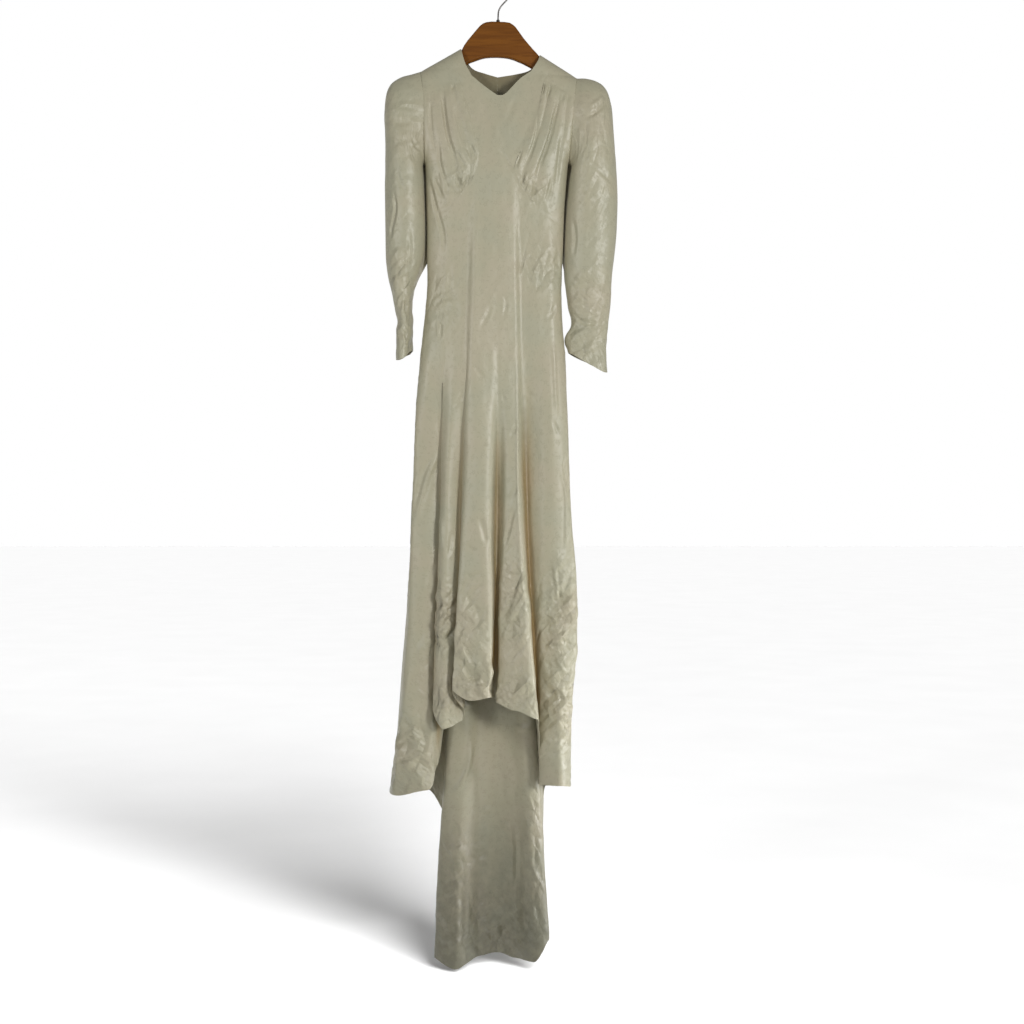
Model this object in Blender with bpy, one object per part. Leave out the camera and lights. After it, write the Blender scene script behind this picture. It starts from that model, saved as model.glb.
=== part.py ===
"""Long-sleeved wedding dress with a train, hanging on a wooden hanger.

Metres, +Z up. The front of the dress faces -Y and the wearer's left is at +X.
The origin is the bearing point of the hook: the top of the inside of its loop.

The dress is first laid out as one sheet of quads, in which pieces that are sewn
together share their seam points. Each piece is then cut from that sheet, drawn back
a hair from its edges and given its wall along the normals that it shares with its
neighbours, so the walls that meet at a seam stay parallel and never touch.
"""
import math

import bmesh
import bpy
from mathutils import Vector

# ---------------------------------------------------------------- driving sizes
WALL = 0.0012              # the satin and its seam allowances
SEAM_GAP = 0.0004          # between two walls that meet at a seam
SEAT_GAP = 0.0004          # between a piece and what carries it
MERGE_CELL = 1e-5          # points closer than this are one
SHOULDER_SEAT = 0.0009     # between the shoulder seam and the hanger's arm
HANGER_TILT = math.radians(1.5)   # the dress pulls its left shoulder down a little

RIGHT = -1                 # the wearer's right, at -X
LEFT = 1                   # the wearer's left, at +X
FRONT = -1                 # the sheet at -Y
BACK = 1                   # the sheet at +Y

# Shoulder seams, along the hanger's arms, in the hanger's own level frame
SHOULDER_TOP = -0.094      # height at which the two shoulder lines would cross
SHOULDER_FALL = 0.60       # drop for each metre outwards
NECK_POINT = {RIGHT: -0.078, LEFT: 0.092}   # where the neck opening starts
ARM_STRIP = {RIGHT: -0.103, LEFT: 0.119}    # outer edge of the plastron's neck arm
SHOULDER_ROUNDING = 0.042  # depth over which front and back part below the shoulder
RING_POWER = 2.6           # squareness of the flattened rings
SHOULDER_SQUARING = 1.8    # and how much squarer they get up at the shoulder seams

# Rings of the dress: height, its two sides, and how far front and back stand off
RINGS = (
    # z,      right,  left,  front, back
    (-0.140, -0.173, 0.173, 0.026, 0.024),
    (-0.190, -0.168, 0.169, 0.028, 0.026),
    (-0.245, -0.161, 0.162, 0.032, 0.028),
    (-0.334, -0.160, 0.155, 0.040, 0.029),
    (-0.409, -0.158, 0.147, 0.042, 0.029),
    (-0.484, -0.156, 0.141, 0.037, 0.028),
    (-0.570, -0.155, 0.138, 0.033, 0.028),
    (-0.667, -0.155, 0.134, 0.034, 0.033),
    (-0.731, -0.161, 0.136, 0.036, 0.036),
    (-0.796, -0.168, 0.142, 0.036, 0.038),
    (-0.893, -0.176, 0.146, 0.036, 0.039),
    (-1.022, -0.183, 0.151, 0.036, 0.040),
    (-1.151, -0.189, 0.157, 0.036, 0.042),
    (-1.280, -0.195, 0.168, 0.037, 0.048),
    (-1.409, -0.202, 0.169, 0.038, 0.055),
    (-1.538, -0.214, 0.159, 0.040, 0.060),
    (-1.667, -0.227, 0.156, 0.040, 0.066),
    (-1.742, -0.238, 0.157, 0.040, 0.070),
)

# Folds of the skirt, once round from the right side over the front and the back.
# Each row is a crest, an edge or a valley. It leaves the ring at from_z and passes
# through its places at knee height, at the front hem and, in the train, at its foot.
TOP_Z = -0.500
KNEE_Z = -1.108
HEM_Z = -1.538
TRAIN_Z = -2.080
FRONT_FOLDS = (
    # name,        cells, top_x,  from_z, knee_x, knee_y, hem_x,  hem_y,  hem_z
    ("side_right",     3, -0.154, -0.893, -0.188,  0.012, -0.218,  0.040, -1.743),
    ("wedge_crest",    3, -0.144, -0.807, -0.170,  0.000, -0.205,  0.006, -1.745),
    ("wedge_edge",     3, -0.131, -0.742, -0.138,  0.002, -0.155,  0.000, -1.731),
    ("wedge_valley",   2, -0.119, -0.721, -0.121,  0.019, -0.132,  0.033, -1.680),
    ("fold_back",      2, -0.110, -0.721, -0.113,  0.008, -0.122,  0.018, -1.600),
    ("front_edge",     3, -0.101, -0.721, -0.127, -0.010, -0.143, -0.014, -1.551),
    ("lobe_crest",     3, -0.083, -0.785, -0.111, -0.026, -0.117, -0.036, -1.595),
    ("lobe_trough",    2, -0.065, -0.807, -0.086, -0.014, -0.080, -0.018, -1.580),
    ("ridge_a_root",   2, -0.055, -0.750, -0.079, -0.021, -0.077, -0.030, -1.550),
    ("ridge_a_right",  3, -0.043, -0.678, -0.072, -0.030, -0.103, -0.048, -1.510),
    ("ridge_a",        3, -0.028, -0.678, -0.044, -0.046, -0.060, -0.066, -1.532),
    ("ridge_a_left",   3, -0.013, -0.678, -0.017, -0.034, -0.014, -0.052, -1.525),
    ("trough_1_right", 2, -0.002, -0.850, -0.006, -0.017, -0.014, -0.021, -1.530),
    ("trough_1_left",  2,  0.006, -0.850,  0.003, -0.018, -0.004, -0.019, -1.536),
    ("ridge_b_right",  3,  0.017, -0.893,  0.013, -0.032, -0.004, -0.038, -1.539),
    ("ridge_b",        4,  0.032, -0.893,  0.034, -0.040,  0.034, -0.058, -1.554),
    ("ridge_b_left",   4,  0.053, -0.893,  0.054, -0.030,  0.081, -0.044, -1.572),
    ("trough_2",       4,  0.074, -0.742,  0.077, -0.004,  0.075,  0.004, -1.650),
    ("ridge_c_right",  4,  0.096, -0.764,  0.099, -0.018,  0.090, -0.008, -1.719),
    ("ridge_c",        4,  0.119, -0.764,  0.133, -0.018,  0.131, -0.020, -1.719),
    ("side_left",      2,  0.138, -0.893,  0.154,  0.004,  0.158,  0.016, -1.726),
)
BACK_FOLDS = (
    # name,    cells, top_x, from_z, knee_x, knee_y, hem_x, hem_y, foot_x, foot_y, hem_z
    ("turn_left",      2,  0.123, -0.893,  0.132, 0.026,  0.140, 0.056,  0.140, 0.056, -1.733),
    ("side_hem_left",  2,  0.093, -0.893,  0.100, 0.036,  0.103, 0.086,  0.103, 0.086, -1.738),
    ("wall_left",      2,  0.067, -0.936,  0.080, 0.040,  0.090, 0.082,  0.098, 0.075, -1.826),
    ("edge_left",      2,  0.043, -0.936,  0.064, 0.028,  0.077, 0.046,  0.107, 0.036, -2.064),
    ("lobe_left",      2,  0.021, -0.936,  0.043, 0.030,  0.056, 0.040,  0.074, 0.022, -2.108),
    ("dip_left",       2,  0.006, -0.936,  0.019, 0.036,  0.030, 0.054,  0.035, 0.050, -2.107),
    ("centre_back",    2, -0.009, -0.936, -0.005, 0.040, -0.005, 0.066, -0.005, 0.066, -2.099),
    ("dip_right",      2, -0.024, -0.936, -0.029, 0.038, -0.040, 0.062, -0.046, 0.056, -2.105),
    ("ridge_right",    2, -0.045, -0.936, -0.052, 0.032, -0.072, 0.046, -0.092, 0.018, -2.122),
    ("edge_right",     2, -0.067, -0.936, -0.076, 0.030, -0.107, 0.050, -0.140, 0.042, -2.104),
    ("wall_right",     2, -0.088, -0.936, -0.094, 0.042, -0.116, 0.092, -0.129, 0.080, -1.795),
    ("side_hem_right", 2, -0.114, -0.893, -0.133, 0.044, -0.159, 0.104, -0.159, 0.104, -1.750),
    ("turn_right",     2, -0.140, -0.893, -0.174, 0.034, -0.214, 0.080, -0.214, 0.080, -1.753),
)
SKIRT_ROWS = 18            # from the empire seam to the hem

# Bodice seams, as places (x, z) on the front or the back sheet
ARMPIT_Z = -0.387
ARMHOLE_DEPTH = {FRONT: 0.034, BACK: 0.030}
YOKE_ROWS = 4              # from the shoulder to the yoke's lower edge
ARMHOLE_ROWS = 11          # from the shoulder to the armpit
BODICE_ROWS = 14           # from the shoulder to the empire seam
APEX_ROW_FOLDS = ("ridge_a_right", "ridge_b")    # the empire seam's inner ends
EMPIRE_SEAM = {            # height of the empire seam along x, side to apex
    RIGHT: ((-0.154, -0.501), (-0.110, -0.486), (-0.083, -0.461), (-0.066, -0.435),
            (-0.053, -0.417), (-0.043, -0.396)),
    LEFT: ((0.138, -0.522), (0.103, -0.499), (0.081, -0.478), (0.062, -0.460),
           (0.045, -0.433), (0.032, -0.409)),
}
YOKE_EDGE_MIDDLE = {RIGHT: (-0.126, -0.232), LEFT: (0.139, -0.236)}
STRIP_CURVE = {RIGHT: (-0.094, -0.189), LEFT: (0.108, -0.193)}
YOKE_CORNER = {RIGHT: (-0.081, -0.217), LEFT: (0.0965, -0.213)}
PLASTRON_EDGE = {          # between the yoke's corner and the empire seam's apex
    RIGHT: ((-0.063, -0.281), (-0.045, -0.347)),
    LEFT: ((0.079, -0.287), (0.058, -0.341), (0.037, -0.386)),
}
NECK_DIP = (-0.004, -0.245)
ARM_NECK = {               # neckline along the plastron's arms, from the shoulder
    RIGHT: ((-0.0725, -0.174), (-0.058, -0.203)),
    LEFT: ((0.083, -0.170), (0.069, -0.193)),
}
FRONT_NECK = {             # and on to the dip, from either arm
    RIGHT: ((-0.032, -0.225),),
    LEFT: ((0.045, -0.210), (0.013, -0.243)),
}
ARM_CELLS = 3
NECK_CELLS = 5
NECK_GRADING = 1.5         # above 1, the back neck's cells are shorter near the shoulder
BACK_NECK_DIP = (-0.003, -0.192)
BACK_NECK = {
    RIGHT: ((-0.059, -0.172), (-0.030, -0.184)),
    LEFT: ((0.068, -0.176), (0.034, -0.186)),
}
BACK_SHOULDER_CELLS = 6    # the rest of a back's columns end at the neck

# Gathers of the bust pieces: where each valley starts and ends across the piece,
# from 0 at the side to 1 at the plastron, and how high the cloth puffs up after it
GATHERS = {
    RIGHT: (
        # at yoke, at seam, puff
        (0.00, 0.00, 0.0015),
        (0.10, 0.22, 0.0025),
        (0.28, 0.41, 0.0030),
        (0.45, 0.58, 0.0035),
        (0.70, 0.76, 0.0040),
        (0.86, 0.90, 0.0025),
        (1.00, 1.00, 0.0000),
    ),
    LEFT: (
        (0.00, 0.00, 0.0015),
        (0.18, 0.20, 0.0025),
        (0.33, 0.37, 0.0030),
        (0.57, 0.53, 0.0040),
        (0.72, 0.69, 0.0035),
        (0.88, 0.84, 0.0025),
        (1.00, 1.00, 0.0000),
    ),
}

# Sleeves: each ring turns about the armpit, from the upright armhole to the level
# rings of the arm. Its outer and inner ends, and its half width from front to back.
SLEEVES = {
    RIGHT: (
        # name,     outer_x, outer_z, inner_x, inner_z, half_y
        ("head_rise",  -0.187, -0.194, -0.1620, -0.389, 0.040),
        ("head_top",   -0.213, -0.202, -0.1625, -0.394, 0.046),
        ("head_turn",  -0.234, -0.220, -0.1622, -0.402, 0.050),
        ("head_side",  -0.243, -0.252, -0.1614, -0.412, 0.053),
        ("upper",      -0.245, -0.302, -0.1606, -0.426, 0.055),
        ("biceps",     -0.245, -0.368, -0.1600, -0.444, 0.055),
        ("low_biceps", -0.245, -0.440, -0.1590, -0.478, 0.053),
        ("elbow_top",  -0.245, -0.520, -0.1580, -0.532, 0.050),
        ("elbow",      -0.244, -0.588, -0.1615, -0.588, 0.048),
        ("forearm",    -0.237, -0.639, -0.1760, -0.639, 0.045),
        ("low_arm",    -0.226, -0.684, -0.1870, -0.684, 0.042),
        ("wrist",      -0.219, -0.727, -0.1870, -0.727, 0.040),
        ("cuff",       -0.223, -0.770, -0.1860, -0.762, 0.043),
        ("hem",        -0.221, -0.806, -0.1880, -0.784, 0.044),
    ),
    LEFT: (
        ("head_rise",   0.187, -0.203, 0.1540, -0.389, 0.038),
        ("head_top",    0.209, -0.209, 0.1555, -0.394, 0.042),
        ("head_turn",   0.226, -0.221, 0.1545, -0.402, 0.044),
        ("head_side",   0.238, -0.245, 0.1525, -0.412, 0.046),
        ("upper",       0.246, -0.296, 0.1505, -0.427, 0.047),
        ("biceps",      0.251, -0.361, 0.1483, -0.447, 0.047),
        ("low_biceps",  0.255, -0.438, 0.1450, -0.482, 0.045),
        ("elbow_top",   0.255, -0.504, 0.1423, -0.526, 0.042),
        ("elbow",       0.251, -0.566, 0.1408, -0.572, 0.039),
        ("forearm",     0.243, -0.632, 0.1400, -0.632, 0.034),
        ("low_arm",     0.241, -0.688, 0.1480, -0.688, 0.028),
        ("wrist",       0.236, -0.731, 0.1545, -0.731, 0.021),
        ("cuff",        0.233, -0.774, 0.1420, -0.762, 0.020),
        ("hem",         0.232, -0.829, 0.1475, -0.792, 0.022),
    ),
}
CUFF_POINT = {RIGHT: 0.014, LEFT: 0.006}     # how far the cuff runs down over the hand
CUFF_POINT_TURN = {RIGHT: 300.0, LEFT: 20.0}  # where round the cuff the point is, degrees
SLEEVE_POWER = 2.2

# Hanger, in its own level frame
WOOD = (
    # x,      right top, left top, bottom,  half thickness
    (0.0000, -0.0800, -0.0800, -0.1570, 0.0075),
    (0.0140, -0.0800, -0.0802, -0.1575, 0.0075),
    (0.0250, -0.0817, -0.0815, -0.1588, 0.0075),
    (0.0320, -0.0846, -0.0853, -0.1605, 0.0075),
    (0.0380, -0.0893, -0.0903, -0.1625, 0.0074),
    (0.0470, -0.1000, -0.1020, -0.1660, 0.0073),
    (0.0560, -0.1115, -0.1140, -0.1695, 0.0072),
    (0.0640, -0.1215, -0.1232, -0.1735, 0.0070),
    (0.0710, -0.1317, -0.1308, -0.1770, 0.0067),
    (0.0765, -0.1432, -0.1367, -0.1805, 0.0062),
    (0.0840, -0.1471, -0.1441, -0.1850, 0.0060),
    (0.0900, -0.1510, -0.1510, -0.1885, 0.0059),
)
ARM = (                    # the rest of either arm, under the shoulder seam
    # x,    depth, half thickness, lowering at the rounded end
    (0.105, 0.040, 0.0056, 0.000),
    (0.130, 0.038, 0.0054, 0.000),
    (0.155, 0.036, 0.0050, 0.000),
    (0.180, 0.033, 0.0045, 0.000),
    (0.198, 0.029, 0.0041, 0.000),
    (0.208, 0.023, 0.0037, 0.002),
    (0.213, 0.014, 0.0030, 0.005),
)
WOOD_CORNER = 0.0060
WIRE_RADIUS = 0.0016
HOOK_LOOP = 0.0200         # inside radius of the hook
HOOK_MOUTH_ANGLE = 192.0   # the wire's free end, degrees round the loop
HOOK_NECK_ANGLE = -48.0    # where the loop runs into the stem
FERRULE_RADIUS = 0.0038
FERRULE_HEIGHT = 0.0042
BUTTON_RADIUS = 0.0048
BUTTON_BELOW_NECK = 0.009


# ---------------------------------------------------------------- small helpers
def smooth(t):
    """Ease from 0 to 1 while t goes from 0 to 1."""
    t = min(max(t, 0.0), 1.0)
    return t * t * (3.0 - 2.0 * t)


def catmull(before, start, end, after, t):
    """Point at share t between start and end on the smooth curve through all four."""
    return 0.5 * (2.0 * start + (end - before) * t
                  + (2.0 * before - 5.0 * start + 4.0 * end - after) * t * t
                  + (3.0 * start - before - 3.0 * end + after) * t ** 3)


def at_height(levels, z):
    """Smooth value at height z through (height, value) pairs, listed from the top down."""
    if z >= levels[0][0]:
        return levels[0][1]
    slopes = [(low[1] - high[1]) / (low[0] - high[0]) for high, low in zip(levels, levels[1:])]
    if z <= levels[-1][0]:
        return levels[-1][1] + slopes[-1] * (z - levels[-1][0])
    i = next(k for k in range(len(slopes)) if z >= levels[k + 1][0])
    tangent_a = 0.0 if i == 0 else 0.5 * (slopes[i - 1] + slopes[i])
    tangent_b = slopes[i] if i == len(slopes) - 1 else 0.5 * (slopes[i] + slopes[i + 1])
    span = levels[i + 1][0] - levels[i][0]
    t = (z - levels[i][0]) / span
    ease = smooth(t)
    return (levels[i][1] * (1.0 - ease) + levels[i + 1][1] * ease
            + span * (tangent_a * t * (1.0 - t) ** 2 - tangent_b * t * t * (1.0 - t)))


def spread(points, shares_along):
    """Points at the given shares of the length of the smooth curve through some points."""
    points = [Vector(p) for p in points]
    ends = [2.0 * points[0] - points[1]] + points + [2.0 * points[-1] - points[-2]]
    steps = 16
    fine = [catmull(*ends[i:i + 4], k / steps) for i in range(len(points) - 1) for k in range(steps)]
    fine.append(points[-1])
    length = [0.0]
    for a, b in zip(fine, fine[1:]):
        length.append(length[-1] + (b - a).length)
    result = []
    for goal in (share * length[-1] for share in shares_along):
        i = max(next((n for n, run in enumerate(length) if run >= goal), len(fine) - 1), 1)
        share = (goal - length[i - 1]) / (length[i] - length[i - 1])
        result.append(fine[i - 1].lerp(fine[i], share))
    return result


def even(cells):
    """Shares that part a length into equal cells."""
    return [k / cells for k in range(cells + 1)]


def from_shoulder(cells):
    """Shares of a neckline's length, closer together where it leaves the shoulder."""
    return [(k / cells) ** NECK_GRADING for k in range(cells + 1)]


def down_shares(edge):
    """Share of the way down at each point of an edge."""
    return [(edge[0].y - p.y) / (edge[0].y - edge[-1].y) for p in edge]


def patch(top, bottom, first, last, across, down):
    """Rows of points between four edges, from each column's and each row's share."""
    rows = []
    for a, b, t in zip(first, last, down):
        row = []
        for c, s in enumerate(across):
            corner = ((1 - s) * (1 - t) * top[0] + s * (1 - t) * top[-1]
                      + (1 - s) * t * bottom[0] + s * t * bottom[-1])
            row.append((1 - t) * top[c] + t * bottom[c] + (1 - s) * a + s * b - corner)
        rows.append(row)
    return rows


def tilted(x, z):
    """A place in the hanger's level frame, as it hangs."""
    return Vector((x * math.cos(HANGER_TILT) + z * math.sin(HANGER_TILT),
                   -x * math.sin(HANGER_TILT) + z * math.cos(HANGER_TILT)))


# ---------------------------------------------------------------- the sheets of the dress
def ring_at(z):
    """Right side, left side, front and back depth of the dress at a height."""
    return [at_height([(row[0], row[k]) for row in RINGS], z) for k in range(1, 5)]


def on_shoulder(x):
    """Place on the shoulder line, from its x in the hanger's frame."""
    return tilted(x, SHOULDER_TOP - SHOULDER_FALL * abs(x))


def shoulder_tip(side):
    """Outer end of the shoulder seam, where the shoulder line meets the armhole."""
    x = side * 0.17
    for _ in range(12):
        place = on_shoulder(x)
        edge = ring_at(place.y)[0 if side == RIGHT else 1]
        x += edge - place.x
    return on_shoulder(x)


TIP = {side: shoulder_tip(side) for side in (RIGHT, LEFT)}
NECK = {side: on_shoulder(NECK_POINT[side]) for side in (RIGHT, LEFT)}


def top_line(x):
    """Height of the shoulder lines, and of the level between the two neck points."""
    if x < NECK[RIGHT].x:
        a, b = TIP[RIGHT], NECK[RIGHT]
    elif x > NECK[LEFT].x:
        a, b = NECK[LEFT], TIP[LEFT]
    else:
        a, b = NECK[RIGHT], NECK[LEFT]
    return a.y + (b.y - a.y) * (x - a.x) / (b.x - a.x)


def armhole_depth(z, side, face):
    """Half width of the armhole's loop at a height, 0 above and below it."""
    half = (TIP[side].y - ARMPIT_Z) / 2.0
    up = round((z - ARMPIT_Z - half) / half, 5)
    return ARMHOLE_DEPTH[face] * math.sqrt(max(1.0 - up * up, 0.0))


def sheet_y(x, z, face):
    """Where the plain front or back sheet stands at a place seen from the front."""
    right, left, front, back = ring_at(z)
    below = min(max(round(top_line(x) - z, 7) / SHOULDER_ROUNDING, 0.0), 1.0)
    depth = (front if face == FRONT else back) * math.sqrt(1.0 - (1.0 - below) ** 2)
    side = RIGHT if x < (right + left) / 2.0 else LEFT
    edge = armhole_depth(z, side, face)
    across = min(round(abs(2.0 * x - right - left) / (left - right), 6), 1.0)
    power = RING_POWER + SHOULDER_SQUARING * (1.0 - below)
    crown = (1.0 - across ** power) ** (1.0 / power)
    return face * (edge + (depth - edge) * crown)


class Fold:
    """One row of the fold tables: a line down the skirt that the sheet passes through."""

    def __init__(self, row, face):
        self.face = face
        self.name, self.cells, self.top_x, self.from_z = row[:4]
        knee_x, knee_y, hem_x, hem_y = row[4:8]
        self.hem_z = row[-1]
        self.x_levels = [(TOP_Z, self.top_x), (KNEE_Z, knee_x), (HEM_Z, hem_x)]
        self.y_levels = [(KNEE_Z, knee_y), (HEM_Z, hem_y)]
        if face == BACK:
            self.x_levels.append((TRAIN_Z, row[8]))
            self.y_levels.append((TRAIN_Z, row[9]))

    def place(self, z):
        """x of the fold at a height, and how far it stands off the plain sheet."""
        if self.name == "side_right":
            x = ring_at(z)[0]
        elif self.name == "side_left":
            x = ring_at(z)[1]
        else:
            x = at_height(self.x_levels, z)
        grown = smooth((self.from_z - z) / (self.from_z - KNEE_Z))
        return Vector((x, grown * (at_height(self.y_levels, z) - sheet_y(x, z, self.face))))


FOLDS = [Fold(row, FRONT) for row in FRONT_FOLDS] + [Fold(row, BACK) for row in BACK_FOLDS]
COLUMNS = [(i, k / fold.cells) for i, fold in enumerate(FOLDS) for k in range(fold.cells)]


def column_of(name):
    """Number of the column that runs down a named fold."""
    return COLUMNS.index((next(i for i, fold in enumerate(FOLDS) if fold.name == name), 0.0))


def column_hem(column):
    """Height of the hem under a column."""
    i, t = COLUMNS[column % len(COLUMNS)]
    a, b = FOLDS[i].hem_z, FOLDS[(i + 1) % len(FOLDS)].hem_z
    return a + (b - a) * smooth(t)


def on_column(column, z):
    """Point of the skirt on a column, at a height."""
    i, t = COLUMNS[column % len(COLUMNS)]
    near = [FOLDS[(i + k) % len(FOLDS)].place(z) for k in (-1, 0, 1, 2)]
    x, off = catmull(*near, t)
    face = FRONT if i + t <= len(FRONT_FOLDS) - 1 else BACK
    return Vector((x, sheet_y(x, z, face) + off, z))


# ---------------------------------------------------------------- one sheet for the dress
class Sheet:
    """Quads of every piece, over points that neighbouring pieces share."""

    def __init__(self):
        self.points = []
        self.number = {}
        self.quads = {}
        self.fixed_normals = {}

    def add_point(self, point):
        key = tuple(math.floor(v / MERGE_CELL + 0.237) for v in point)
        if key not in self.number:
            self.number[key] = len(self.points)
            self.points.append(Vector(point))
        return self.number[key]

    def add(self, piece, rows):
        """Add rows of points, top row first, that run towards the wearer's left in front."""
        grid = [[self.add_point(p) for p in row] for row in rows]
        quads = self.quads.setdefault(piece, [])
        for upper, lower in zip(grid, grid[1:]):
            for c in range(len(upper) - 1):
                quads.append((upper[c], lower[c], lower[c + 1], upper[c + 1]))

    def fix_normal(self, point, normal):
        """Set the normal of a point whose neighbours meet at a corner."""
        self.fixed_normals[self.add_point(point)] = Vector(normal).normalized()

    def quad_normal(self, quad):
        """Normal of a quad, as long as twice its area."""
        a, b, c, d = (self.points[v] for v in quad)
        return (c - a).cross(d - b)

    def normals(self):
        """The direction away from the inside of the dress at every point."""
        sums = [Vector((0.0, 0.0, 0.0)) for _ in self.points]
        for quads in self.quads.values():
            for quad in quads:
                for v in quad:
                    sums[v] += self.quad_normal(quad)
        result = [s.normalized() for s in sums]
        for v, normal in self.fixed_normals.items():
            result[v] = normal
        return result


def cut_piece(sheet, normals, piece):
    """Cut one piece from the sheet as a closed wall, drawn back from its edges."""
    quads = sheet.quads[piece]
    directed = {(q[k], q[(k + 1) % 4]): q for q in quads for k in range(4)}
    border = [edge for edge in directed if (edge[1], edge[0]) not in directed]
    inward = {}
    for a, b in border:
        run = (sheet.points[b] - sheet.points[a]).normalized()
        for v in (a, b):
            across = normals[v].cross(run)
            if across.length < 0.5:
                across = sheet.quad_normal(directed[a, b]).cross(run)
            inward.setdefault(v, []).append(across.normalized())
    used = sorted({v for q in quads for v in q})
    place = {v: n for n, v in enumerate(used)}
    outer = []
    for v in used:
        point = sheet.points[v].copy()
        if v in inward:
            one, two = inward[v]
            point += (one + two) * (SEAM_GAP / 2.0) / max(1.0 + one.dot(two), 0.4)
        outer.append(point)
    inner = [point - normals[v] * WALL for point, v in zip(outer, used)]
    count = len(used)
    faces = [[place[v] for v in q] for q in quads]
    faces += [[place[v] + count for v in reversed(q)] for q in quads]
    faces += [[place[b], place[a], place[a] + count, place[b] + count] for a, b in border]
    return outer + inner, faces


# ---------------------------------------------------------------- bodice
def edge_points(side):
    """Side edge of the bodice from the shoulder to the empire seam, as (x, z)."""
    half = (TIP[side].y - ARMPIT_Z) / 2.0
    seam_z = EMPIRE_SEAM[side][0][1]
    heights = [ARMPIT_Z + half + half * math.cos(math.pi * k / ARMHOLE_ROWS)
               for k in range(ARMHOLE_ROWS + 1)]
    below = BODICE_ROWS - ARMHOLE_ROWS
    heights += [ARMPIT_Z + (seam_z - ARMPIT_Z) * k / below for k in range(1, below + 1)]
    return [Vector((ring_at(z)[0 if side == RIGHT else 1], z)) for z in heights]


def seam_height(x):
    """Height of the empire seam and of the level line between its two apexes."""
    line = list(EMPIRE_SEAM[RIGHT]) + list(reversed(EMPIRE_SEAM[LEFT]))
    for a, b in zip(line, line[1:]):
        if x <= b[0]:
            break
    share = min(max((x - a[0]) / (b[0] - a[0]), 0.0), 1.0)
    return a[1] + (b[1] - a[1]) * share


def skirt_top(column):
    """Height at which the skirt starts on a column."""
    if column % len(COLUMNS) <= column_of("side_left"):
        i, t = COLUMNS[column % len(COLUMNS)]
        near = [FOLDS[(i + k) % len(FOLDS)].top_x for k in (-1, 0, 1, 2)]
        return seam_height(catmull(*near, t))
    start, middle = column_of("side_left"), column_of("centre_back")
    side, run = (LEFT, middle - start) if column <= middle else (RIGHT, len(COLUMNS) - middle)
    away = abs(column - middle) / run
    waist = (EMPIRE_SEAM[RIGHT][0][1] + EMPIRE_SEAM[LEFT][0][1]) / 2.0
    return waist + (EMPIRE_SEAM[side][0][1] - waist) * away


def shares(points):
    """Share of the way from the first to the last point, measured along x."""
    width = points[-1].x - points[0].x
    return [(p.x - points[0].x) / width for p in points]


def lifted(rows, face, gathers=None):
    """Give rows of (x, z) places their depth on the front or the back sheet."""
    result = []
    for r, row in enumerate(rows):
        down = r / (len(rows) - 1)
        across = shares(row)
        line = []
        for place, s in zip(row, across):
            y = sheet_y(place.x, place.y, face)
            if gathers is not None:
                y -= gather_puff(gathers, s, down)
            line.append(Vector((place.x, y, place.y)))
        result.append(line)
    return result


def gather_puff(side, share, down):
    """Height of the gathered cloth at a place of a bust piece, 0 along its seams."""
    s = share if side == RIGHT else 1.0 - share
    for (top_a, low_a, puff), (top_b, low_b, _) in zip(GATHERS[side], GATHERS[side][1:]):
        a = top_a + (low_a - top_a) * down
        b = top_b + (low_b - top_b) * down
        if a <= s <= b:
            hill = math.sin(math.pi * (s - a) / (b - a)) ** 2
            return puff * hill * smooth(down / 0.12) * smooth((1.0 - down) / 0.12)
    return 0.0


def flat(point):
    """The (x, z) place of a point, as seen from the front."""
    return Vector((point.x, point.z))


def add_bodice_front(sheet):
    """Plastron, yokes and bust pieces, down to the empire seam."""
    first, last = (column_of(name) for name in APEX_ROW_FOLDS)
    seam = [on_column(c, skirt_top(c)) for c in range(column_of("side_left") + 1)]
    plastron_edges, halves = {}, {}
    for side in (RIGHT, LEFT):
        strip_top = on_shoulder(ARM_STRIP[side])
        corner = Vector(YOKE_CORNER[side])
        apex = flat(seam[first if side == RIGHT else last])
        outer = edge_points(side)
        yoke_rows = down_shares(outer[:YOKE_ROWS + 1])
        strip = spread([strip_top, STRIP_CURVE[side], corner], yoke_rows)
        edge = spread([corner, *PLASTRON_EDGE[side], apex], even(BODICE_ROWS - YOKE_ROWS))
        plastron_edges[side] = strip + edge[1:]
        below = seam[:first + 1] if side == RIGHT else seam[last:]
        across = shares([flat(p) for p in below])
        order = 1 if side == RIGHT else -1
        yoke_bottom = spread([outer[YOKE_ROWS], YOKE_EDGE_MIDDLE[side], corner][::order], across)
        shoulder_ends = [TIP[side], strip_top][::order]
        yoke_top = [shoulder_ends[0].lerp(shoulder_ends[1], s) for s in across]
        sides = [outer, plastron_edges[side]][::order]
        name = "right" if side == RIGHT else "left"
        rows = patch(yoke_top, yoke_bottom, *[e[:YOKE_ROWS + 1] for e in sides], across, yoke_rows)
        sheet.add("yoke_" + name, lifted(rows, FRONT))
        rows = patch(yoke_bottom, [flat(p) for p in below], *[e[YOKE_ROWS:] for e in sides],
                     across, even(BODICE_ROWS - YOKE_ROWS))
        bust = lifted(rows, FRONT, gathers=side)
        bust[-1] = below
        sheet.add("bust_" + name, bust)
        foot = add_plastron_arm(sheet, side, strip, yoke_rows)
        neck = spread([foot[-1], *FRONT_NECK[side], NECK_DIP], even(NECK_CELLS))
        halves[side] = foot + neck[1:]
    top = halves[RIGHT] + halves[LEFT][-2::-1]
    bottom = seam[first:last + 1]
    across = shares([flat(p) for p in bottom])
    edges = [plastron_edges[RIGHT][YOKE_ROWS:], plastron_edges[LEFT][YOKE_ROWS:]]
    rows = patch(top, [flat(p) for p in bottom], *edges, across, even(BODICE_ROWS - YOKE_ROWS))
    plastron = lifted(rows, FRONT)
    plastron[-1] = bottom
    sheet.add("front_panel", plastron)


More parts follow.
